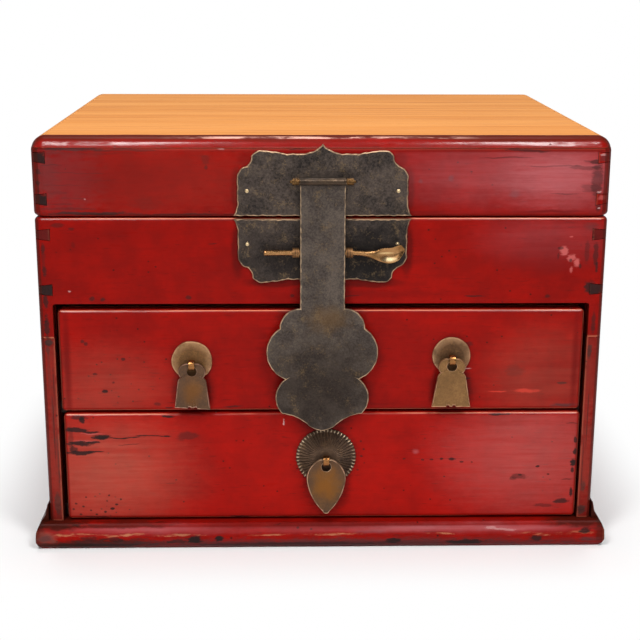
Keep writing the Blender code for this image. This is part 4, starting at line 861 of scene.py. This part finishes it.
# The pin's stains are painted light: two pale painted highlights on the bowl and two brown patches of painted
# shade.
pin_brass = metal(
    "pin_brass", ((148, 108, 67), (162, 120, 79), (164, 122, 81), (210, 170, 124)), gloss=0.27, metallic=1.0,
    depth=0.0, front=-0.157,
    stains_and_painted_light=[(52.5, 212.8, 6, 4.5, (104, 70, 36), 0.75), (33, 206.6, 7, 2.2, (104, 74, 42), 0.7),
            (44.5, 204.8, 6, 1.8, (250, 226, 176), 0.85), (41, 209, 7, 1, (226, 194, 140), 0.6)],
)
copper = metal(
    "rubbed_copper", ((98, 66, 38), (136, 96, 58), (164, 122, 78), (206, 164, 114)), rubbed=0.2, front=-0.156,
    stains_and_painted_light=[(x, PIN_LEVEL, 0.5, 8, (34, 22, 13), 0.9) for x in (-18, -16.4, 16.4, 18)],
)
dull_copper = metal(
    "dull_copper", ((60, 42, 26), (112, 82, 48), (150, 114, 70), (200, 160, 110)), rubbed=0.1, gloss=0.24,
    metallic=1.0,
)
for name in nodes:
    if "hinge" in name:
        dress(name, brass)
    elif name.startswith("hasp_eyelet") or name == "hasp_bar":
        dress(name, dull_copper)
    elif name.endswith("_eye"):
        dress(name, eye_brass)
    elif "nail" in name:
        dress(name, nail_brass)
    elif "eyelet" in name:
        dress(name, copper)
print("mixed fourteen metals")

# %% [markdown]
# ## Surfaces from grids
# Every fitting made again below is one grid of points: rings that follow each other, with equally many
# points round each. Quads join neighbours, and flat caps close the ends, or the last ring meets the first.

# %% Grid to mesh
def surface(name, grid, finish, body, replaced, rim=None, caps=True, sharp=32):
    """A closed piece from a (rings, points, 3) grid. It rides on a body and stands for a CAD node."""
    rings, around = grid.shape[:2]
    index = np.arange(rings * around).reshape(rings, around)
    if not caps:
        index = np.concatenate([index, index[:1]])
    beside = np.roll(index, -1, axis=1)
    faces = np.stack([index[:-1], beside[:-1], beside[1:], index[1:]], axis=-1).reshape(-1, 4).tolist()
    if caps:
        faces += [index[0, ::-1].tolist(), index[-1].tolist()]
    mesh = bpy.data.meshes.new(name)
    mesh.from_pydata(grid.reshape(-1, 3).tolist(), [], faces)
    bm = bmesh.new()
    bm.from_mesh(mesh)
    bmesh.ops.recalc_face_normals(bm, faces=bm.faces)
    bm.to_mesh(mesh)
    bm.free()
    values = np.zeros(rings * around) if rim is None else np.broadcast_to(rim, (rings, around)).ravel()
    mesh.attributes.new("rim", "FLOAT", "POINT").data.foreach_set("value", values.astype(np.float32))
    mesh.shade_smooth()
    mesh.set_sharp_from_angle(angle=math.radians(sharp))
    mesh.materials.append(finish)
    piece = bpy.data.objects.new(name, mesh)
    bpy.context.scene.collection.objects.link(piece)
    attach(piece, body)
    if replaced:
        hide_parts(replaced)
    return piece

# %% [markdown]
# A sheet's outline is drawn as its right half, from the bottom to the top, with arcs between its corners.
# The mirrored half completes it. Then it is cut again into even steps, with a slight tremble inwards, as a
# chisel leaves it.

# %% Outlines
DEGREES_A_STEP = 4
TREMBLE_WAVES = (640, 1130)


def arc(start, end, bulge):
    """Points from start towards end on an arc. The bulge is the tangent of a quarter of its angle."""
    sweep = 4 * math.atan(bulge)
    count = max(2, round(abs(math.degrees(sweep)) / DEGREES_A_STEP))
    share = np.linspace(0, 1, count, endpoint=False)[:, None]
    chord = end - start
    if bulge == 0:
        return start + chord * share
    centre = (start + end) / 2 + np.array([-chord[1], chord[0]]) / (2 * math.tan(sweep / 2))
    off = start - centre
    return centre + off * np.cos(sweep * share) + np.array([-off[1], off[0]]) * np.sin(sweep * share)


def heading(points):
    """The direction at each point of a closed outline, along the line between its neighbours."""
    ahead = np.roll(points, -1, axis=0) - np.roll(points, 1, axis=0)
    return ahead / np.linalg.norm(ahead, axis=1, keepdims=True)


def inset(points, distance):
    """Moves a closed outline inwards, square to its direction."""
    ahead = heading(points)
    inward = np.column_stack([-ahead[:, 1], ahead[:, 0]])
    return points + inward * np.broadcast_to(distance, len(points))[:, None]


def outline(half, count=480, tremble=0.0):
    """Even steps round a whole outline in metres. Its right half has (across, up, bulge) in millimetres."""
    right = np.array(half, float)
    left = right[::-1] * (-1, 1, 1)
    left[:, 2] = np.append(right[-2::-1, 2], 0)
    rows = np.concatenate([right, left])
    rows = rows[np.abs(rows[:, :2] - np.roll(rows[:, :2], -1, axis=0)).sum(axis=1) > 1e-6]
    ends = np.roll(rows, -1, axis=0)
    points = np.concatenate([arc(a[:2], b[:2], a[2]) for a, b in zip(rows, ends)]) / 1000
    loop = np.concatenate([points, points[:1]])
    walked = np.append(0, np.cumsum(np.linalg.norm(np.diff(loop, axis=0), axis=1)))
    even = np.linspace(0, walked[-1], count, endpoint=False)
    whole = np.column_stack([np.interp(even, walked, loop[:, axis]) for axis in (0, 1)])
    wave = 2 + np.sin(even * TREMBLE_WAVES[0]) + np.sin(even * TREMBLE_WAVES[1] + 2)
    return inset(whole, tremble * wave / 4)

# %% [markdown]
# A pressed sheet is that outline many times over. Each ring is drawn in a little and lifted a little, so a
# list of insets and heights gives a filed slope or a raised rim. The rings run down to a hole in the middle.

# %% Pressed sheets
PINHOLE = 0.0002
HOLE_EDGE = 0.0004
LEAST_SLANT = 0.12


def pressed(points, profile, place, centre, hole=PINHOLE, hole_rim=0.0):
    """Rings of a sheet's outline, each drawn in along rays to a centre and moved forwards, and their rims.

    A profile's row is (inset, height over the back, rim). The inset is square to the edge, so a point moves
    further where the edge slants to its ray. The grid starts and ends on the edge of a round hole, whose
    front is rubbed by hole_rim.
    """
    ray = points - np.array(centre)
    far = np.linalg.norm(ray, axis=1)
    ray /= far[:, None]
    ahead = heading(points)
    slant = np.maximum(ahead[:, 1] * ray[:, 0] - ahead[:, 0] * ray[:, 1], LEAST_SLANT)
    depth, height, rim = np.array(profile).T[:, :, None]
    edge = np.full((1, len(points)), hole)
    away = np.concatenate([edge, far - depth / slant, edge + HOLE_EDGE, edge])
    out = np.concatenate([height[:1], height, height[-1:], height[-1:]]) + 0 * away
    x, y, z = place
    grid = np.stack([x + centre[0] + away * ray[:, 0], y - out, z + centre[1] + away * ray[:, 1]], axis=-1)
    return grid, np.concatenate([[[0.0]], rim, [[0.0], [hole_rim]]])

# %% [markdown]
# ## Top board
# The lid's top is a board with corners cut round and a large quarter round planed along its edges. The
# solid has that round in a few flats. Here many rings follow the true curve, so that light glides over it.

# %% Top board
PLANED_ROUND = 0.0092
CORNER_ROUND = 0.009


def top_board(low, high, edge, corner, rings=20, turns=12):
    """Rounded rectangles, one over the other: each steps in and up along a quarter circle."""
    first = math.asin(1 - (high.z - low.z) / edge)
    rise = np.linspace(first, math.pi / 2, rings)[:, None]
    inwards = edge * (1 - np.cos(rise))
    bend = np.maximum(corner - inwards, 0.001)
    quarter = np.linspace(0, math.pi / 2, turns)
    angle = np.concatenate([quarter + turn * math.pi / 2 for turn in range(4)])
    side = np.repeat([1, -1, -1, 1], turns), np.repeat([1, 1, -1, -1], turns)
    middle = (low + high) / 2
    x = middle.x + side[0] * ((high.x - low.x) / 2 - inwards - bend) + bend * np.cos(angle)
    y = middle.y + side[1] * ((high.y - low.y) / 2 - inwards - bend) + bend * np.sin(angle)
    z = high.z - edge * (1 - np.sin(rise)) + 0 * angle
    return np.stack([x, y, z], axis=-1)


grid = top_board(*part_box("lid_top"), PLANED_ROUND, CORNER_ROUND)
surface("lid_top_planed", grid, lid_finish, "lid", "lid_top")
print(f"planed the top board in {len(grid)} rings")

# %% [markdown]
# ## Butterfly plates
# Two sheets of bronze, cut by hand to one outline, face each other across the parting. Their edges are
# filed to a slope, and rubbing keeps that slope bright, so a thin golden line runs round each.

# %% Lock plates
PLATE_HALF = [
    (0, 0, 0), (59, 0, -0.15), (56.1, 8, 0), (56.1, 25, 0.35), (50, 33, -0.25), (46.5, 39.5, 0.35),
    (38.5, 43.2, 0.05), (24, 41.2, 0), (13, 41.2, -0.2), (0, 47.5, 0),
]
PLATE_FILED = [(0, 0, 0), (0, 0.0006, 0.6), (0.0003, 0.0011, 1.0), (0.0006, 0.0012, 0.6), (0.0009, 0.0012, 0)]
PLATE_CENTRE = 0.024
upper = outline(PLATE_HALF, 720, 0.0004)
lower = (upper * (1, -1))[::-1]
for name, body, points in (("lid_lock_plate", "lid", upper), ("case_lock_plate", "case", lower)):
    low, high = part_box(name)
    edge, up = (low.z, 1) if body == "lid" else (high.z, -1)
    grid, rim = pressed(points, PLATE_FILED, (0, high.y, edge), (0, up * PLATE_CENTRE))
    surface(f"{name}_sheet", grid, bronze, body, name, rim)
print("cut two lock plates")

# %% [markdown]
# ## Hasp
# The hasp is one long strip of bronze. Its top is rolled over a bar, and its foot spreads into lobes, as a
# cloud does. The filed edge shows bright down both sides.

# %% Hasp
STRAP_HALF = 14.9
HASP_HALF = [
    (0, -171, 0.12), (9, -167.2, -0.18), (27, -158.5, 0.45), (25, -134, 0.60), (28.5, -98.6, 0.4142),
    (STRAP_HALF, -84.8, 0), (STRAP_HALF, 0, 0),
]
HASP_FILED = [(0, 0, 0), (0, 0.0007, 0.5), (0.0003, 0.0012, 1.0), (0.0006, 0.0013, 0.5), (0.0009, 0.0013, 0)]
HASP_CENTRE = (0, -0.120)
bar_low, bar_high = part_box("hasp_bar")
bar = (bar_low + bar_high) / 2
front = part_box("hasp")[1].y
grid, rim = pressed(outline(HASP_HALF, 900, 0.0002), HASP_FILED, (0, front, bar.z), HASP_CENTRE)
surface("hasp_strap", grid, grey_bronze, "hasp", "hasp", rim)

ROLL_OUTSIDE = 0.0025
ROLL_INSIDE = 0.0012
turn = np.radians(np.linspace(-70, 180, 40))
circle = np.column_stack([np.cos(turn), np.sin(turn)])
roll = np.concatenate([ROLL_OUTSIDE * circle, ROLL_INSIDE * circle[::-1]])
along_bar = np.array([-STRAP_HALF, 0.3 - STRAP_HALF, STRAP_HALF - 0.3, STRAP_HALF])[:, None] / 1000
swell = np.array([0.94, 1.0, 1.0, 0.94])[:, None]
rim = np.array([1.0, 0.1, 0.1, 1.0])[:, None]
grid = np.stack([along_bar + 0 * roll[:, 0], bar.y - swell * roll[:, 0], bar.z + swell * roll[:, 1]], axis=-1)
surface("hasp_roll", grid, roll_bronze, "hasp", None, rim)
print("rolled the hasp over its bar")

# %% [markdown]
# ## Lock pin
# The pin is a brass rod that ends in a flat curled handle, dished like the bowl of a small spoon. Its
# section is an ellipse whose top and bottom follow two curves along the pin, so a few points of each curve
# are enough to shape it.

# %% Lock pin
PIN_ROD = [
    (-38.8, 1.2), (-38.6, 1.6), (-38.1, 1.9), (-37, 1.85), (-20, 1.75), (0, 1.75), (15, 1.75), (20.1, 1.7),
]
PIN_TOP = [
    (0, 1.5), (0.15, 1.2), (0.36, 1.4), (0.47, 2.3), (0.58, 3.2), (0.7, 3.1), (0.79, 4.0), (0.88, 5.2),
    (0.93, 5.4), (0.97, 4.2), (1, 1.8),
]
PIN_FOOT = [
    (0, -1.8), (0.15, -2.6), (0.26, -3.6), (0.36, -4.8), (0.47, -6.0), (0.58, -7.0), (0.68, -7.3),
    (0.79, -6.6), (0.88, -5.2), (0.94, -2.8), (0.985, 0.0), (1, 1.7),
]
HANDLE_START = 24
HANDLE_LENGTH = 30
HANDLE_FLAT = [(0, 1), (0.3, 0.9), (0.6, 0.5), (1, 0.4)]
HANDLE_BOWL = [(0, 0), (0.2, 0), (0.6, 0.36), (1, 0.36)]
MOST_DEEP = 1.9


def eased(rows, share):
    """A line through rows of (share, value), its corners eased by averaging over a short stretch."""
    places, values = np.array(rows).T
    return np.mean([np.interp(share + off, places, values) for off in np.linspace(-0.045, 0.045, 15)], axis=0)


def pin_grid(middle_y, middle_z, rings=44, around=48):
    """Ellipses along X, in millimetres: round on the rod, then tall, thin and dished on the handle."""
    rod, rod_size = np.array(PIN_ROD).T
    share = np.sin(np.linspace(0.02, 1, rings) * math.pi / 2)
    handle_top = eased(PIN_TOP, share)
    handle_foot = np.minimum(eased(PIN_FOOT, share), handle_top - 0.3)
    top = np.concatenate([rod_size, handle_top])
    foot = np.concatenate([-rod_size, handle_foot])
    tall = (top - foot) / 2
    flat = np.interp(share, *np.array(HANDLE_FLAT).T)
    bowl = np.interp(share, *np.array(HANDLE_BOWL).T)
    deep = (np.minimum(MOST_DEEP, tall) * np.concatenate([np.ones(len(rod)), flat]))[:, None]
    dish = (tall * np.concatenate([np.zeros(len(rod)), bowl]))[:, None]
    angle = np.linspace(0, 2 * math.pi, around, endpoint=False)
    x = np.concatenate([rod, HANDLE_START + HANDLE_LENGTH * share])[:, None] + 0 * angle
    y = middle_y + deep * np.cos(angle) + dish * np.cos(angle) ** 2
    z = middle_z + ((top + foot) / 2)[:, None] + tall[:, None] * np.sin(angle)
    return np.stack([x, y, z], axis=-1) / 1000


pin_low, pin_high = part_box("lock_pin")
grid = pin_grid((pin_low.y + pin_high.y) / 2 * 1000, PIN_LEVEL)
surface("lock_pin_turned", grid, pin_brass, "lock_pin", "lock_pin", sharp=50)
print("turned the lock pin")

# %% [markdown]
# ## Pull plates
# Two plain discs are cut from sheet brass and beaten up a little in the middle. The lower pull has a
# chrysanthemum: fifty flutes run out from its middle to a beaded, scalloped edge.

# %% Discs and rosette
def turned_plate(name, profile, flutes=0, flute=0.0, uneven=0.0, count=96):
    """A round plate that faces -Y in a node's box. Ripples lift it and scallop its edge.

    A profile's row is (share of the radius, height, share of the ripples).
    """
    low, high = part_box(name)
    middle = (low + high) / 2
    share, height, ripple = np.array(profile).T[:, :, None]
    angle = np.linspace(0, 2 * math.pi, count, endpoint=False)
    wave = np.cos(flutes * angle) if flutes else np.ones(count)
    wobble = 1 - uneven * (1 + np.sin(3 * angle + 1) * np.cos(2 * angle)) / 2
    around = (high.x - low.x) / 2 * share * wobble - flute * ripple * (1 - wave)
    out = height + flute * ripple * (wave - 1)
    x = middle.x + around * np.cos(angle)
    z = middle.z + around * np.sin(angle)
    return np.stack([x, high.y - out, z], axis=-1)


DISC = [(1, 0, 0), (1, 0.0005, 0), (0.975, 0.0009, 0), (0.93, 0.0010, 0), (0.6, 0.0013, 0), (0.25, 0.0015, 0)]
disc_rim = np.array([0, 0.9, 1, 0.4, 0, 0])[:, None]
for side, uneven, finish in (("left", 0.05, brass), ("right", 0.015, dull_brass)):
    name = f"{side}_pull_disc"
    grid = turned_plate(name, DISC, uneven=uneven)
    surface(f"{name}_beaten", grid, finish, "upper_drawer", name, disc_rim)

ROSETTE = [
    (1, 0, 0.5), (1, 0.0005, 0.5), (0.985, 0.0008, 0.6), (0.962, 0.0010, 0.9), (0.945, 0.0014, 1),
    (0.925, 0.0011, 1), (0.88, 0.0013, 1), (0.72, 0.0026, 0.9), (0.55, 0.0033, 0.7), (0.42, 0.0037, 0.4),
    (0.34, 0.0039, 0), (0.15, 0.0040, 0),
]
FLUTES = 50
FLUTE_DEPTH = 0.0004
ROSETTE_POINTS = 800
name = "lower_pull_rosette"
grid = turned_plate(name, ROSETTE, FLUTES, FLUTE_DEPTH, count=ROSETTE_POINTS)
bead = np.maximum(0, np.cos(FLUTES * np.linspace(0, 2 * math.pi, ROSETTE_POINTS, endpoint=False))) ** 2
# The beads' bright tops are partly rubbed and partly a painted highlight.
bead_wear_and_glints = np.array([0, 0, 0.3, 0.9, 1, 0.6, 0, 0, 0, 0, 0, 0])[:, None] * bead
surface(f"{name}_fluted", grid, dark_brass, "lower_drawer", name, bead_wear_and_glints, sharp=60)
print("beat two discs and a rosette")

# %% [markdown]
# ## Pendants
# A pendant is a sheet of brass with a raised rim, and a round hole under its bridge where the eye passes.
# The upper pair are bells, each cut a little differently, and the lower one is a leaf.

# %% Pendants
BRIDGE = 0.0011
HOLE = 0.0034
HOLE_RUBBED = 0.8


def bell(down, foot, tooth):
    """Right half of a bell: notched foot, slanting side, two steps in at the neck, and a round head."""
    return [
        (0, tooth - down, 0), (0.9, tooth - down, 0), (0.9, -down, -1), (3.3, -down, 0), (foot, -down, 0),
        (9.7, -12.4, 0.25), (7.5, -9.2, 0.3), (8.8, -2.8, 0.25), (4.0, 1.1, 0), (0, 1.1, 0),
    ]


def cut_askew(points, slant):
    """Shortens an outline's left side, the more the further out and down."""
    half = np.abs(points[:, 0]).max()
    return points * np.column_stack([np.ones(len(points)), 1 - slant * (0.5 - points[:, 0] / (2 * half))])


LEAF = [(0, -38.7, 0.4142), (2.2, -37.2, 0.15), (13.0, -16.5, 0.36), (4, 1.1, 0), (0, 1.1, 0)]
RAISED = [
    (0, 0, 0), (0, 0.0012, 0.5), (0.0003, 0.0018, 1.0), (0.0005, 0.0018, 0.8), (0.0008, 0.0014, 0.1),
    (0.0011, 0.0014, 0),
]
pendants = (
    ("left_pull", bell(31.5, 12.0, 0.5), bell_brass, 0.045),
    ("right_pull", bell(33.2, 13.2, 0.2), pale_brass, 0.0),
    ("lower_pull", LEAF, leaf_brass, 0.0),
)
for body, half, finish, slant in pendants:
    name = f"{body}_pendant"
    low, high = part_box(name)
    place = ((low.x + high.x) / 2, high.y, high.z - BRIDGE)
    points = cut_askew(outline(half, 360), slant)
    grid, rim = pressed(points, RAISED, place, (0, -BRIDGE - HOLE), HOLE, HOLE_RUBBED)
    surface(f"{name}_rimmed", grid, finish, body, name, rim, caps=False)
print("made the pendants of three pulls")

# %% [markdown]
# ## Small fittings
# The eyes, eyelets and hinges keep their solids, with their edges rounded over by a bevel, which leaves the
# solid itself as it is. Domed nails hold the hinge leaves.

# %% Rounded edges and hinge nails
def soften(name, width):
    """Welds a node's corners, then rounds its edges, so that they catch the light."""
    piece = nodes[name]
    if "eye" in name:
        piece.data.shade_smooth()
    piece.modifiers.new("weld", "WELD").merge_threshold = 0.00001
    edge = piece.modifiers.new("round", "BEVEL")
    edge.width = width
    edge.segments = 4
    edge.limit_method = "ANGLE"
    edge.angle_limit = math.radians(50)
    edge.harden_normals = False


for name in nodes:
    if name.endswith("_eye"):
        soften(name, 0.0011)
    elif "eyelet" in name:
        soften(name, 0.0006)
    elif "hinge" in name:
        soften(name, 0.00025)

NAIL_RADIUS = 0.0021
NAIL_HEIGHT = 0.0009
NAIL_INSET = 0.006
LEAF_THICKNESS = 0.0015
rise = np.linspace(0, math.pi / 2, 6)[:-1, None]
spin = np.linspace(0, 2 * math.pi, 20, endpoint=False)
wide = NAIL_RADIUS * np.cos(rise)
for name in [name for name in nodes if name.endswith("_leaf")]:
    low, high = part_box(name)
    on_lid = "_lid_" in name
    body = "lid" if on_lid else "case"
    level = high.z - NAIL_INSET if on_lid else low.z + NAIL_INSET
    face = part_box("lid_back" if on_lid else "back_board")[1].y + LEAF_THICKNESS
    y = face + NAIL_HEIGHT * np.sin(rise) + 0 * spin
    for number, share in enumerate((0.15, 0.5, 0.85)):
        x = low.x + (high.x - low.x) * share
        grid = np.stack([x + wide * np.cos(spin), y, level + wide * np.sin(spin)], axis=-1)
        surface(f"{name}_nail_{number}", grid, copper, body, None, sharp=60)
print("drove twelve hinge nails")

# %% [markdown]
# ## Studio
# A white floor runs out into a white room. Near the chest the floor is plain matt white and takes its
# shadow. Further off it turns into the room's own white, so no horizon shows.

# %% Floor
FLOOR_WHITE = (0.93, 0.93, 0.93, 1)
WHITE = (1, 1, 1, 1)
SHADOW_WIDTH = 0.075


def camera_sees(tree):
    """1 for what the camera sees directly, 0 for light that has bounced."""
    return Field(put(tree, "ShaderNodeLightPath").outputs["Is Camera Ray"])


def make_floor(size=6.0):
    """A square that glows white for the camera, the more the further it is from the chest's foot."""
    mesh = bpy.data.meshes.new("floor")
    far = size / 2
    mesh.from_pydata([(-far, -far, 0), (far, -far, 0), (far, far, 0), (-far, far, 0)], [], [(0, 1, 2, 3)])
    floor = bpy.data.objects.new("floor", mesh)
    bpy.context.scene.collection.objects.link(floor)
    made, shader, place = new_material("floor_white")
    shader.inputs["Base Color"].default_value = FLOOR_WHITE
    shader.inputs["Roughness"].default_value = 0.9
    shader.inputs["Specular IOR Level"].default_value = 0.0
    beside = unsigned(place) - (cad_box[1][0], cad_box[1][1], 0.0)
    beyond = length(larger(beside, (0.0, 0.0, 0.0)))
    white = step(beyond, 0.0, SHADOW_WIDTH) * camera_sees(place.tree)
    glow = put(place.tree, "ShaderNodeEmission", {"Color": WHITE, "Strength": 1.0})
    inputs = {0: white, 1: Field(shader.outputs[0]), 2: Field(glow.outputs[0])}
    both = put(place.tree, "ShaderNodeMixShader", inputs)
    feed(place.tree.nodes["Material Output"].inputs, {"Surface": Field(both.outputs[0])})
    mesh.materials.append(made)


make_floor()

# %% [markdown]
# ## Light
# The photograph has soft light from two sides and from above, as in a studio with large diffusers. Four
# wide lamps give it, and the room adds a little from everywhere, so that no side goes black.

# %% Room and lamps
def make_world(level):
    """A white room for the camera, and its light at a lower level for everything else."""
    world = bpy.data.worlds.new("room")
    world.use_nodes = True
    background = world.node_tree.nodes["Background"]
    background.inputs["Color"].default_value = WHITE
    feed(background.inputs, {"Strength": larger(camera_sees(world.node_tree), level)})
    bpy.context.scene.world = world


def lamp(name, place, aim, size, power):
    """A soft square lamp that faces a point."""
    data = bpy.data.lights.new(name, "AREA")
    data.shape = "RECTANGLE"
    data.size, data.size_y = size
    data.energy = power
    made = bpy.data.objects.new(name, data)
    made.location = place
    made.rotation_mode = "QUATERNION"
    made.rotation_quaternion = (Vector(aim) - Vector(place)).to_track_quat("-Z", "Y")
    bpy.context.scene.collection.objects.link(made)


make_world(level=0.18)
lamp("left", (-0.40, -0.85, 1.15), (0, 0, 0.15), (0.28, 0.6), 9)
lamp("right", (0.46, -0.85, 1.15), (0, 0, 0.15), (0.28, 0.6), 9)
lamp("front", (0, -2.0, 0.7), (0, 0, 0.12), (1.2, 0.8), 5)
lamp("above", (0, 0.32, 1.5), (0, 0.24, 0), (0.9, 0.5), 9.6)
print(f"hung {len(bpy.data.lights)} lamps")

# %% [markdown]
# ## Camera
# The photograph's own edges fix the camera: it stands a metre in front of the chest and 39 cm up, looks
# 15 degrees down and a little to the right, through a lens of about 75 mm.

# %% Camera
def make_camera(place, pitch, yaw, roll, lens, sensor=36):
    """Forward, right and down follow from pitch and yaw. The roll then turns right and down in the view."""
    pitch, yaw, roll = np.radians([pitch, yaw, roll])
    forward = np.array([math.sin(yaw) * math.cos(pitch), math.cos(yaw) * math.cos(pitch), -math.sin(pitch)])
    right = np.array([math.cos(yaw), -math.sin(yaw), 0])
    down = np.cross(forward, right)
    across_view = math.cos(roll) * right + math.sin(roll) * down
    down_view = math.cos(roll) * down - math.sin(roll) * right
    data = bpy.data.cameras.new("camera")
    data.lens = lens
    data.sensor_width = sensor
    camera = bpy.data.objects.new("camera", data)
    axes = np.eye(4)
    axes[:3, :3] = np.column_stack([across_view, -down_view, -forward])
    axes[:3, 3] = place
    camera.matrix_world = Matrix(axes.tolist())
    bpy.context.scene.collection.objects.link(camera)
    bpy.context.scene.camera = camera


make_camera((-0.0230, -1.0098, 0.3917), pitch=14.956, yaw=1.439, roll=-0.2165, lens=74.55)
bpy.context.scene.view_settings.view_transform = "Standard"
